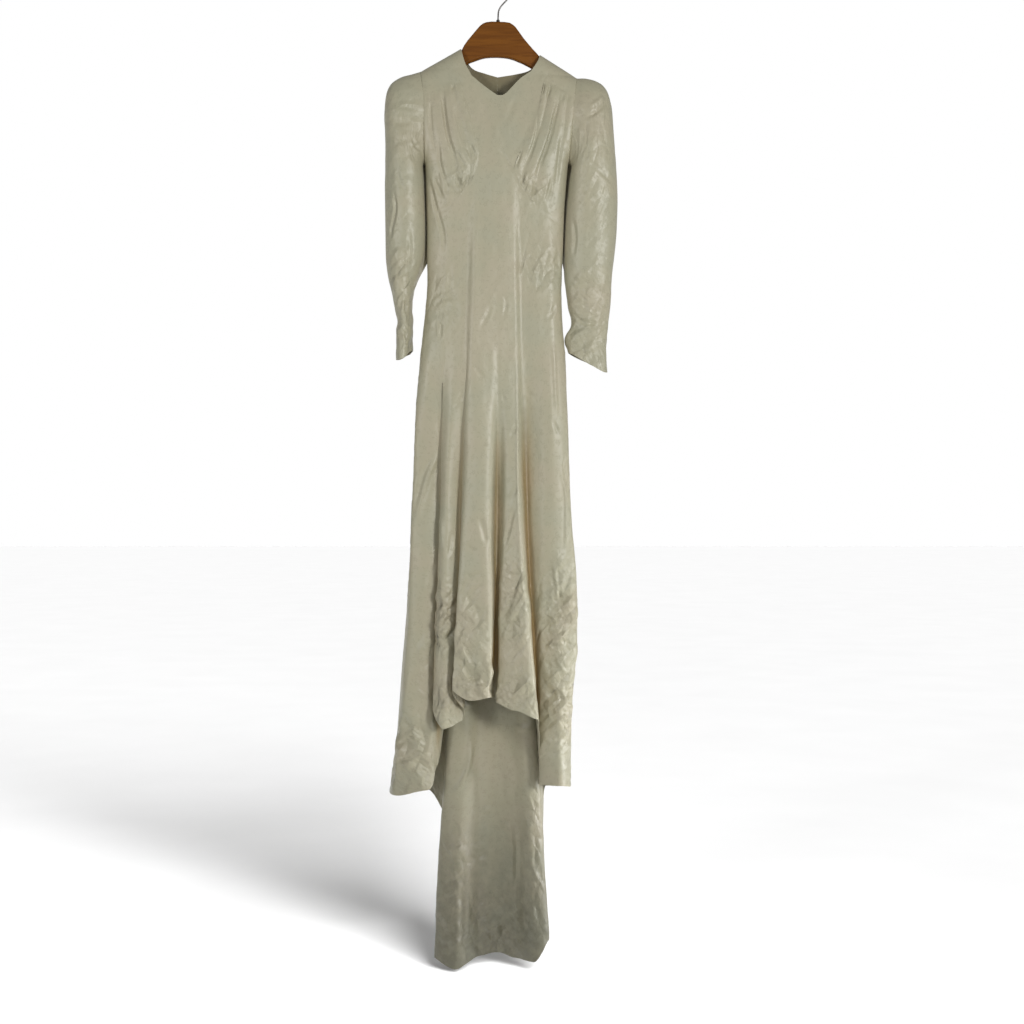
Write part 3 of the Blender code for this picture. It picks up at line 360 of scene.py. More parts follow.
def patch(top, bottom, first, last, across, down):
    """Grid of places between four edges, from each column's and each row's share."""
    s, t = across[None, :, None], down[:, None, None]
    corners = ((1 - s) * (1 - t) * top[0] + s * (1 - t) * top[-1]
               + (1 - s) * t * bottom[0] + s * t * bottom[-1])
    between = (1 - t) * top[None] + t * bottom[None]
    return between + (1 - s) * first[:, None] + s * last[:, None] - corners


def unit(vectors):
    """Vectors brought to length 1."""
    return vectors / np.linalg.norm(vectors, axis=1)[:, None]


def facing(points, quads):
    """Direction that each quad faces, twice as long as its area."""
    a, b, c, d = (points[quads[:, k]] for k in range(4))
    return np.cross(c - a, d - b)


print("a curve through three places:", spread([(0, 0), (1, 1), (2, 0)], even(4)).round(2).tolist())

# %% [markdown]
# ## The plain front and back
#
# Between the two side edges the cloth bulges forward and back in a flattened oval. Up at
# the shoulder the front and the back close on each other over the hanger's arm, and
# along the armhole they open to the loop that the sleeve is set into.

# %% The plain sheets
TIP_GUESS, TIP_ROUNDS = 0.17, 12     # a first place for a shoulder's tip, and steps to find it


def ring_at(z):
    """Right side, left side, front and back depth of the dress at heights z."""
    return [at_height([(row[0], row[k]) for row in RINGS], z) for k in range(1, 5)]


def side_x(z, side):
    """x of one side edge of the dress at heights z."""
    return ring_at(z)[0 if side == RIGHT else 1]


def tilted(x, z):
    """A place in the hanger's level frame, as it hangs."""
    return np.array((x * math.cos(HANGER_TILT) + z * math.sin(HANGER_TILT),
                     -x * math.sin(HANGER_TILT) + z * math.cos(HANGER_TILT)))


def on_shoulder(x):
    """Place on the shoulder line, from its x in the hanger's frame."""
    return tilted(x, SHOULDER_TOP - SHOULDER_FALL * abs(x))


def shoulder_tip(side):
    """Outer end of the shoulder seam, where the shoulder line meets the armhole."""
    x = side * TIP_GUESS
    for _ in range(TIP_ROUNDS):
        place = on_shoulder(x)
        x += side_x(place[1], side) - place[0]
    return on_shoulder(x)


TIP = {side: shoulder_tip(side) for side in (RIGHT, LEFT)}
NECK = {side: on_shoulder(NECK_POINT[side]) for side in (RIGHT, LEFT)}
SHOULDER_LINE = np.array((TIP[RIGHT], NECK[RIGHT], NECK[LEFT], TIP[LEFT])).T


def top_line(x):
    """Height of the shoulder lines, and of the level between the two neck points."""
    return np.interp(x, *SHOULDER_LINE)


def armhole_depth(z, side, face):
    """Half width of the armhole's loop at a height, 0 above and below it."""
    half = (TIP[side][1] - ARMPIT_Z) / 2.0
    up = np.round((z - ARMPIT_Z - half) / half, 5)
    return ARMHOLE_DEPTH[face] * np.sqrt(np.maximum(1.0 - up * up, 0.0))


def sheet_y(x, z, face):
    """Where the plain front or back sheet stands at places seen from the front."""
    right, left, front, back = ring_at(z)
    below = np.clip(np.round(top_line(x) - z, 7) / SHOULDER_ROUNDING, 0.0, 1.0)
    depth = (front if face == FRONT else back) * np.sqrt(1.0 - (1.0 - below) ** 2)
    across = np.minimum(np.round(abs(2.0 * x - right - left) / (left - right), 6), 1.0)
    near_armpit = smooth((ARMPIT_Z + BLEND_TOP - z) / BLEND_FADE)
    blend = np.minimum(0.5 * (1.0 - across), ARMHOLE_BLEND) * near_armpit
    edge = 0.0
    for step, weight in BLEND_STEPS:
        swell = [armhole_depth(z + step * blend, side, face) for side in (RIGHT, LEFT)]
        edge = edge + weight / 9.0 * np.where(x < (right + left) / 2.0, *swell)
    power = RING_POWER + SHOULDER_SQUARING * (1.0 - below)
    crown = (1.0 - across ** power) ** (1.0 / power)
    return face * (edge + (depth - edge) * crown)


print(f"shoulder tips at {TIP[RIGHT].round(3)} and {TIP[LEFT].round(3)}")

# %% [markdown]
# ## Columns down the skirt
#
# Between two folds of the table the cloth rolls over smoothly, so each fine column takes
# its place from the four folds around it. One run of columns goes all the way round:
# right side, front, left side, back.

# %% Folds and columns
SIDE_FOLDS = {"side_right": RIGHT, "side_left": LEFT}    # these follow the rings


class Fold:
    """One row of the fold tables: a line down the skirt that the sheet passes through."""

    def __init__(self, row, face):
        self.face = face
        self.name, self.cells, self.top_x, self.from_z = row[:4]
        knee_x, knee_y, hem_x, hem_y = row[4:8]
        self.hem_z = row[-1]
        self.x_levels = [(TOP_Z, self.top_x), (KNEE_Z, knee_x), (HEM_Z, hem_x)]
        self.y_levels = [(KNEE_Z, knee_y), (HEM_Z, hem_y)]
        if face == BACK:
            self.x_levels.append((TRAIN_Z, row[8]))
            self.y_levels.append((TRAIN_Z, row[9]))

    def place(self, z):
        """x of the fold at heights z, and how far it stands off the plain sheet."""
        if self.name in SIDE_FOLDS:
            x = side_x(z, SIDE_FOLDS[self.name])
        else:
            x = at_height(self.x_levels, z)
        grown = smooth((self.from_z - z) / (self.from_z - KNEE_Z))
        return x, grown * (at_height(self.y_levels, z) - sheet_y(x, z, self.face))


FOLDS = [Fold(row, FRONT) for row in FRONT_FOLDS] + [Fold(row, BACK) for row in BACK_FOLDS]
FRONT_SPANS = len(FRONT_FOLDS) - 1
COLUMNS = []
for number, fold in enumerate(FOLDS):
    cells = fold.cells * (FINE_FRONT if number < FRONT_SPANS else FINE_BACK)
    COLUMNS += [(number, k / cells) for k in range(cells)]


def column_of(name):
    """Number of the column that runs down a named fold."""
    return COLUMNS.index((next(i for i, fold in enumerate(FOLDS) if fold.name == name), 0.0))


SIDE_LEFT = column_of("side_left")
CENTRE_BACK = column_of("centre_back")


def column_hem(column):
    """Height of the hem under a column."""
    i, t = COLUMNS[column % len(COLUMNS)]
    low, after = FOLDS[i].hem_z, FOLDS[(i + 1) % len(FOLDS)].hem_z
    return low + (after - low) * smooth(t)


def on_column(column, z):
    """Points of the skirt on a column, at heights z."""
    i, t = COLUMNS[column % len(COLUMNS)]
    near = [FOLDS[(i + k) % len(FOLDS)].place(z) for k in (-1, 0, 1, 2)]
    x, off = (catmull(*values, t) for values in zip(*near))
    face = FRONT if i + t <= FRONT_SPANS else BACK
    return np.stack((x, sheet_y(x, z, face) + off, z), axis=-1)


def seam_height(x):
    """Height of the empire seam and of the level line between its two apexes."""
    line = np.array(list(EMPIRE_SEAM[RIGHT]) + list(reversed(EMPIRE_SEAM[LEFT])))
    return np.interp(x, line[:, 0], line[:, 1])


def skirt_top(column):
    """Height at which the skirt starts on a column."""
    if column % len(COLUMNS) <= SIDE_LEFT:
        i, t = COLUMNS[column % len(COLUMNS)]
        near = [FOLDS[(i + k) % len(FOLDS)].top_x for k in (-1, 0, 1, 2)]
        return seam_height(catmull(*near, t))
    side = LEFT if column <= CENTRE_BACK else RIGHT
    run = CENTRE_BACK - SIDE_LEFT if side == LEFT else len(COLUMNS) - CENTRE_BACK
    waist = (EMPIRE_SEAM[RIGHT][0][1] + EMPIRE_SEAM[LEFT][0][1]) / 2.0
    return waist + (EMPIRE_SEAM[side][0][1] - waist) * abs(column - CENTRE_BACK) / run


print(f"{len(COLUMNS)} columns round the skirt, {SIDE_LEFT} of them in front")

# %% [markdown]
# ## One sheet for the whole dress
#
# All the pieces are laid out as grids first and welded into one sheet, in which a seam's
# points belong to both of its pieces. The wall's direction is then worked out over the
# whole sheet, so two pieces lean the same way along their seam and never touch. Each
# grid also carries its place on the flat cloth, for the weave, and how far it is from
# its hem.

# %% The sheet
FAR_FROM_HEM = 9.0         # for pieces that have no hem


def cloth_places(grid, turn_down=False):
    """Places on the flat cloth: along each row from its middle, and down."""
    steps = np.linalg.norm(np.diff(grid, axis=1), axis=2)
    run = np.concatenate((np.zeros((len(grid), 1)), np.cumsum(steps, axis=1)), axis=1)
    run -= run[:, run.shape[1] // 2][:, None]
    if turn_down:
        falls = np.linalg.norm(np.diff(grid, axis=0), axis=2).mean(axis=1)
        down = -np.concatenate(([0.0], np.cumsum(falls)))[:, None] + 0.0 * run
    else:
        down = grid[:, :, 2]
    return np.stack((run, down), axis=-1)


def to_hem(grid):
    """How far each point of a grid is from the foot of its column."""
    falls = np.linalg.norm(np.diff(grid, axis=0), axis=2)
    run = np.concatenate((np.zeros((1, grid.shape[1])), np.cumsum(falls, axis=0)))
    return run[-1] - run


class Sheet:
    """Grids of every piece, welded so that neighbouring pieces share their seam points."""

    def __init__(self):
        self.blocks = []

    def add(self, piece, grid, fold=-1.0, hem=FAR_FROM_HEM, deep=0.0, turn_down=False):
        """Add a grid, top row first, that runs towards the wearer's left in front."""
        values = [np.broadcast_to(value, grid.shape[:2]).ravel() for value in (fold, hem, deep)]
        self.blocks.append((piece, grid, values, cloth_places(grid, turn_down)))

    def weld(self):
        """Number the shared points, and list every piece's quads and flat places."""
        every = np.vstack([grid.reshape(-1, 3) for _, grid, _, _ in self.blocks])
        keys = np.floor(every / MERGE_CELL + MERGE_SHIFT).astype(np.int64)
        _, first, number = np.unique(keys, axis=0, return_index=True, return_inverse=True)
        self.points = every[first]
        values = np.hstack([values for _, _, values, _ in self.blocks])
        self.fold, self.hem, self.deep = values[:, first]
        upper, lower = slice(None, -1), slice(1, None)
        corners = ((upper, upper), (lower, upper), (lower, lower), (upper, lower))
        number = number.ravel()
        quads, flats, start = {}, {}, 0
        for piece, grid, _, places in self.blocks:
            rows, columns = grid.shape[:2]
            ids = number[start:start + rows * columns].reshape(rows, columns)
            start += rows * columns
            quads.setdefault(piece, []).append(np.stack([ids[c] for c in corners], axis=-1).reshape(-1, 4))
            flat = np.stack([places[c] for c in corners], axis=-2).reshape(-1, 4, 2)
            flats.setdefault(piece, []).append(flat)
        self.quads = {piece: np.vstack(parts) for piece, parts in quads.items()}
        self.flat_places = {piece: np.vstack(parts) for piece, parts in flats.items()}
        every = np.arange(len(self.points))
        self.of_piece = {piece: np.isin(every, parts) for piece, parts in self.quads.items()}

    def normals(self, points):
        """The direction away from the inside of the dress at every point."""
        sums = np.zeros_like(points)
        for quads in self.quads.values():
            across = facing(points, quads)
            for k in range(4):
                for axis in range(3):
                    sums[:, axis] += np.bincount(quads[:, k], across[:, axis], len(points))
        sums = unit(sums)
        sums[self.fixed] = self.fixed_normals
        return sums


sheet = Sheet()

# %% [markdown]
# ## The bodice front
#
# The plastron's two arms run up to the shoulders, the yokes lie beside them, and the bust
# pieces hang gathered between the yokes and the empire seam. Each gather is a rounded
# puff between two pinched valleys. Close under the yoke, and just over the empire seam,
# the gathering stitches break it up into finer ripples that soon die out.

# %% Bodice pieces
PUFF_EASE = 0.10           # share of a piece's length over which the puffs rise
PUFF_POWER = 0.85          # below 1, the puffs are fuller than a sine
RIPPLE_HEIGHT = 0.0008
RIPPLE_REACH = 0.016       # how far from its seam a ripple dies out
RIPPLES_ACROSS = 9.5       # over the width of a bust piece


def edge_points(side):
    """Side edge of the bodice from the shoulder to the empire seam, as (x, z)."""
    half = (TIP[side][1] - ARMPIT_Z) / 2.0
    seam_z = EMPIRE_SEAM[side][0][1]
    armhole = ARMPIT_Z + half + half * np.cos(math.pi * even(ARMHOLE_ROWS * FINE_DOWN))
    below = ARMPIT_Z + (seam_z - ARMPIT_Z) * even((BODICE_ROWS - ARMHOLE_ROWS) * FINE_DOWN)
    heights = np.concatenate((armhole, below[1:]))
    return np.stack((side_x(heights, side), heights), axis=-1)


def gather_puff(side, share, down, length):
    """Height of the gathered cloth over a bust piece, 0 along its seams."""
    s = share if side == RIGHT else 1.0 - share
    puff = np.zeros(np.broadcast_shapes(s.shape, down.shape))
    for (top_a, low_a, height), (top_b, low_b, _) in zip(GATHERS[side], GATHERS[side][1:]):
        a = top_a + (low_a - top_a) * down
        b = top_b + (low_b - top_b) * down
        within = (s >= a) & (s <= b)
        hill = np.sin(np.pi * np.clip((s - a) / (b - a), 0.0, 1.0)) ** PUFF_POWER
        puff = np.where(within, height * hill, puff)
    puff *= smooth(down / PUFF_EASE) * smooth((1.0 - down) / PUFF_EASE)
    phase = RIPPLES_ACROSS * s + 0.33 * np.sin(9.0 * s + side) + 0.15 * np.sin(23.0 * s)
    ripple = (0.5 + 0.5 * np.sin(2.0 * math.pi * phase)) * (0.7 + 0.3 * np.sin(15.0 * s + 2.0))
    for away in (down * length, (1.0 - down) * length):
        puff += RIPPLE_HEIGHT * ripple * smooth(away / 0.004) * np.exp(-(away / RIPPLE_REACH) ** 2)
    return puff


def lifted(rows, face, gathers=None):
    """Give a grid of (x, z) places its depth on the front or the back sheet."""
    y = sheet_y(rows[..., 0], rows[..., 1], face)
    if gathers is not None:
        across = (rows[..., 0] - rows[:, :1, 0]) / (rows[:, -1:, 0] - rows[:, :1, 0])
        down = even(len(rows) - 1)[:, None]
        length = (rows[0, :, 1] - rows[-1, :, 1])[None, :]
        y = y - gather_puff(gathers, across, down, length)
    return np.stack((rows[..., 0], y, rows[..., 1]), axis=-1)


def skirt_row(first, last, height):
    """One point on each column from first to last, at the height that a function gives."""
    return np.array([on_column(c, np.array(height(c))) for c in range(first, last + 1)])


def add_plastron_arm(side, strip, rows_down):
    """One arm of the plastron up to the shoulder. Gives its foot, outer end first."""
    neck = spread([NECK[side], *ARM_NECK[side]], rows_down)
    across = even(ARM_CELLS * FINE_FRONT)
    top = strip[0] + (neck[0] - strip[0]) * across[:, None]
    foot = strip[-1] + (neck[-1] - strip[-1]) * across[:, None]
    rows = patch(top, foot, strip, neck, across, rows_down)
    sheet.add("front_panel", lifted(rows[:, ::-side], FRONT))
    return foot


def add_bodice_front():
    """Plastron, yokes and bust pieces, down to the empire seam."""
    first, last = (column_of(name) for name in APEX_ROW_FOLDS)
    seam = skirt_row(0, SIDE_LEFT, skirt_top)
    yoke_cells = YOKE_ROWS * FINE_DOWN
    bust_rows = even((BODICE_ROWS - YOKE_ROWS) * FINE_DOWN)
    plastron_edges, halves = {}, {}
    for side, name in ((RIGHT, "right"), (LEFT, "left")):
        strip_top = on_shoulder(ARM_STRIP[side])
        corner = np.array(YOKE_CORNER[side])
        below = seam[:first + 1] if side == RIGHT else seam[last:]
        apex = below[-1 if side == RIGHT else 0][[0, 2]]
        outer = edge_points(side)
        yoke_rows = down_shares(outer[:yoke_cells + 1])
        strip = spread([strip_top, STRIP_CURVE[side], corner], yoke_rows)
        edge = spread([corner, *PLASTRON_EDGE[side], apex], bust_rows)
        plastron_edges[side] = edge
        across = shares(below)
        order = -side
        yoke_bottom = spread([outer[yoke_cells], YOKE_EDGE_MIDDLE[side], corner][::order], across)
        ends = [TIP[side], strip_top][::order]
        yoke_top = ends[0] + (ends[1] - ends[0]) * across[:, None]
        sides = [outer[:yoke_cells + 1], strip][::order]
        yoke = patch(yoke_top, yoke_bottom, *sides, across, yoke_rows)
        sheet.add("yoke_" + name, lifted(yoke, FRONT))
        sides = [outer[yoke_cells:], edge][::order]
        bust = patch(yoke_bottom, below[:, [0, 2]], *sides, across, bust_rows)
        bust = lifted(bust, FRONT, gathers=side)
        bust[-1] = below
        sheet.add("bust_" + name, bust)
        foot = add_plastron_arm(side, strip, yoke_rows)
        neck = spread([foot[-1], *FRONT_NECK[side], NECK_DIP], even(NECK_CELLS * FINE_FRONT))
        halves[side] = np.vstack((foot, neck[1:]))
    top = np.vstack((halves[RIGHT], halves[LEFT][-2::-1]))
    bottom = seam[first:last + 1]
    sides = [plastron_edges[side] for side in (RIGHT, LEFT)]
    rows = patch(top, bottom[:, [0, 2]], *sides, shares(bottom), bust_rows)
    plastron = lifted(rows, FRONT)
    plastron[-1] = bottom
    sheet.add("front_panel", plastron)


add_bodice_front()
print("bodice front:", sorted({block[0] for block in sheet.blocks}))

# %% [markdown]
# ## The skirt and the back
#
# The skirt front hangs from the plastron and the empire seam. The back bodice closes the
# neck behind, and the back skirt falls to the train. Rows are closer together near the
# hems, where the satin is crumpled most.

# %% Skirt and back pieces
# Painted shade between the skirt front's folds, by how deep a point lies behind its neighbours
DEEP_REACH = 4             # construction cells on either side that may shade a place
DEEP_FROM = 0.006          # how far behind them the shade begins
DEEP_FULL = 0.034          # and how much further it is full
DEEP_EDGE = 4              # fine columns at the side edges that stay unshaded
DEEP_HEM = 0.10            # the shade fades over this height above the hem
FRONT_LENGTH = 1.1         # of the skirt, about
SKIRT_DOWN = (1.0 + SKIRT_GRADING) * even(SKIRT_ROWS) - SKIRT_GRADING * even(SKIRT_ROWS) ** 2


def painted_fold_shade(grid):
    """How deep each point of a skirt's front lies between its folds, from 0 to 1: the share of painted shade
    there.
    """
    y = grid[:, :, 1]
    reach = DEEP_REACH * FINE_FRONT
    padded = np.pad(y, ((0, 0), (reach, reach)), mode="edge")
    windows = np.lib.stride_tricks.sliding_window_view(padded, 2 * reach + 1, axis=1)
    from_side = np.minimum(np.arange(y.shape[1]), np.arange(y.shape[1])[::-1])
    shaded = smooth((y - windows.min(axis=2) - DEEP_FROM) / DEEP_FULL)
    return shaded * smooth((from_side - DEEP_EDGE) / (2.0 * reach)) * smooth(to_hem(grid) / DEEP_HEM)


def fold_of(column):
    """Place of a column among the folds, from 0 at the right side, once round."""
    i, t = COLUMNS[column % len(COLUMNS)]
    return i + t if column < len(COLUMNS) else len(FOLDS)


def add_skirt(piece, first, last):
    """Skirt of a piece between two columns, from the empire seam's level to the hem."""
    lines = []
    for c in range(first, last + 1):
        top, low = skirt_top(c), column_hem(c)
        lines.append(on_column(c, top + (low - top) * SKIRT_DOWN))
    grid = np.stack(lines, axis=1)
    deep = painted_fold_shade(grid) if piece == "front_panel" else 0.0
    folds = [fold_of(c) for c in range(first, last + 1)]
    sheet.add(piece, grid, fold=folds, hem=to_hem(grid), deep=deep)


def add_back(side, first, last):
    """One half of the back: bodice from the shoulder and neck, and skirt to the train's hem."""
    name = "right" if side == RIGHT else "left"
    below = skirt_row(first, last, skirt_top)
    outer = edge_points(side)
    dip = np.array(BACK_NECK_DIP)
    shoulder_cells = BACK_SHOULDER_CELLS * FINE_BACK
    shoulder = TIP[side] + (NECK[side] - TIP[side]) * even(shoulder_cells)[:, None]
    neck_shares = even(last - first - shoulder_cells) ** NECK_GRADING
    top = np.vstack((shoulder[:-1], spread([NECK[side], *BACK_NECK[side], dip], neck_shares)))
    centre_low = below[-1 if side == LEFT else 0][[0, 2]]
    down = down_shares(outer)
    centre = dip + (centre_low - dip) * down[:, None]
    edges = [outer, centre] if side == LEFT else [centre, outer]
    top = top[::side]
    rows = lifted(patch(top, below[:, [0, 2]], *edges, shares(below), down), BACK)
    rows[-1] = below
    sheet.add("bodice_back_" + name, rows)
    add_skirt("skirt_back_" + name, first, last)


add_skirt("front_panel", 0, SIDE_LEFT)
add_back(LEFT, SIDE_LEFT, CENTRE_BACK)
add_back(RIGHT, CENTRE_BACK, len(COLUMNS))
print(f"skirt rows {MM * FRONT_LENGTH * SKIRT_DOWN[1]:.1f} mm apart at the waist, "
      f"{MM * FRONT_LENGTH * (1 - SKIRT_DOWN[-2]):.1f} mm at the hem")

# %% [markdown]
# ## The sleeves
#
# The sleeve's rings share the armhole's points at their start. Smooth curves run down
# from each armhole point through the same point of every ring, which rounds the puffed
# head and the taper to the wrist.

# %% Sleeve pieces
LEAN_BEHIND = 0.010        # how far behind its edge a sleeve lies against the dress
LEAN_REACH = 0.007
LEAN_FROM, LEAN_TO = -0.374, -0.615    # between these heights
LEAN_FADES = (0.013, 0.030)            # fading over these at its two ends
LEAN_CLEAR = 0.0012        # how far it stays off
LEAN_ROOM = 0.020          # and how far off it may be to be drawn in
SLEEVE_STEPS = (6, 6, 6, 7, 8, 9, 10, 11, 11, 10, 9, 9, 9, 7)   # fine rows between rings


def armhole_loop(side):
    """Armhole points round from the shoulder over the front and back up to the shoulder."""
    edge = edge_points(side)[:ARMHOLE_ROWS * FINE_DOWN + 1]
    return np.vstack((lifted(edge, FRONT), lifted(edge, BACK)[-2:0:-1]))


def side_of_dress(y, z, side):
    """x of the dress's side at places that are y behind its edge."""
    right, left, _, back = ring_at(z)
    across = (1.0 - np.minimum(abs(y) / back, 0.98) ** RING_POWER) ** (1.0 / RING_POWER)
    return (right + left) / 2.0 + side * (left - right) / 2.0 * across


def lean_behind(ring, side):
    """Let the inner side of a sleeve's ring lie round the dress's side, just behind its edge."""
    x, y, z = ring.T
    share = np.exp(-((y - LEAN_BEHIND) / LEAN_REACH) ** 2)
    share *= smooth((LEAN_FROM - z) / LEAN_FADES[0]) * smooth((z - LEAN_TO) / LEAN_FADES[1])
    room = side * (x - side_of_dress(y, z, side)) - LEAN_CLEAR
    moved = ring.copy()
    moved[:, 0] -= side * share * np.where(room < LEAN_ROOM, np.maximum(room, 0.0), 0.0)
    return moved


def add_sleeve(piece, side):
    """One sleeve from the armhole to the pointed cuff."""
    loop = armhole_loop(side)
    turn = 2.0 * math.pi * np.arange(len(loop)) / len(loop)
    up, out = (np.sign(wave) * abs(wave) ** (2.0 / SLEEVE_POWER) for wave in (np.cos(turn), np.sin(turn)))
    rings = [loop]
    for name, outer_x, outer_z, inner_x, inner_z, half_y in SLEEVES[side]:
        share = (1.0 + up) / 2.0
        ring = np.stack((inner_x + (outer_x - inner_x) * share, -half_y * out,
                         inner_z + (outer_z - inner_z) * share), axis=-1)
        if name == "hem":
            away = np.cos(turn - math.radians(CUFF_POINT_TURN[side]))
            ring[:, 2] -= CUFF_POINT[side] * np.maximum(away, 0.0) ** 1.5
        rings.append(ring)
    rings[1:] = [lean_behind(ring, side) for ring in rings[1:]]
    ends = [2.0 * rings[0] - rings[1], *rings, 2.0 * rings[-1] - rings[-2]]
    rows = [catmull(*ends[i:i + 4], k / steps)
            for i, steps in enumerate(SLEEVE_STEPS) for k in range(steps)]
    grid = np.stack([*rows, rings[-1]])
    grid = np.concatenate((grid, grid[:, :1]), axis=1)[:, ::-side]
    sheet.add(piece, grid, hem=to_hem(grid), turn_down=True)


add_sleeve("sleeve_right", RIGHT)
add_sleeve("sleeve_left", LEFT)
sheet.weld()
print(f"{len(sheet.points)} points in {len(sheet.quads)} pieces")

# %% [markdown]
# ## Where the wall's direction is fixed
#
# Along the shoulder seams and round the armholes the cloth turns a sharp corner, so an
# average of the quads round a point would lean into one of them. The direction is set
# there: up from the shoulder line, and square to the armhole's oval.

# %% Fixed directions
ON_LINE = 1e-5             # points this close to a seam's line belong to it


def fix_directions():
    """Directions of the wall along the shoulder seams and round the armholes."""
    x, y, z = sheet.points.T
    directions = np.zeros_like(sheet.points)
    for side in (RIGHT, LEFT):
        half_z = (TIP[side][1] - ARMPIT_Z) / 2.0
        face = np.where(y <= 0.0, ARMHOLE_DEPTH[FRONT], ARMHOLE_DEPTH[BACK])
        depth = np.where(y <= 0.0, armhole_depth(z, side, FRONT), armhole_depth(z, side, BACK))
        on_loop = (abs(x - side_x(z, side)) < 2.0 * ON_LINE) & (abs(abs(y) - depth) < 2.0 * ON_LINE)
        on_loop &= (z > ARMPIT_Z - 0.1 * ON_LINE) & (z < TIP[side][1] + 0.1 * ON_LINE)
        round_loop = np.stack((0.0 * x, y / face ** 2, (z - ARMPIT_Z - half_z) / half_z ** 2), axis=-1)
        directions[on_loop] = round_loop[on_loop]
        run = NECK[side] - TIP[side]
        on_seam = (abs(z - top_line(x)) < ON_LINE) & (x * side > 0.0) & (abs(x) < abs(TIP[side][0]) + ON_LINE)
        directions[on_seam] = np.array((-run[1], 0.0, run[0])) * np.sign(run[0])
    fixed = np.any(directions != 0.0, axis=1)
    return fixed, unit(directions[fixed])


sheet.fixed, sheet.fixed_normals = fix_directions()
print(f"{sheet.fixed.sum()} points with a set direction")
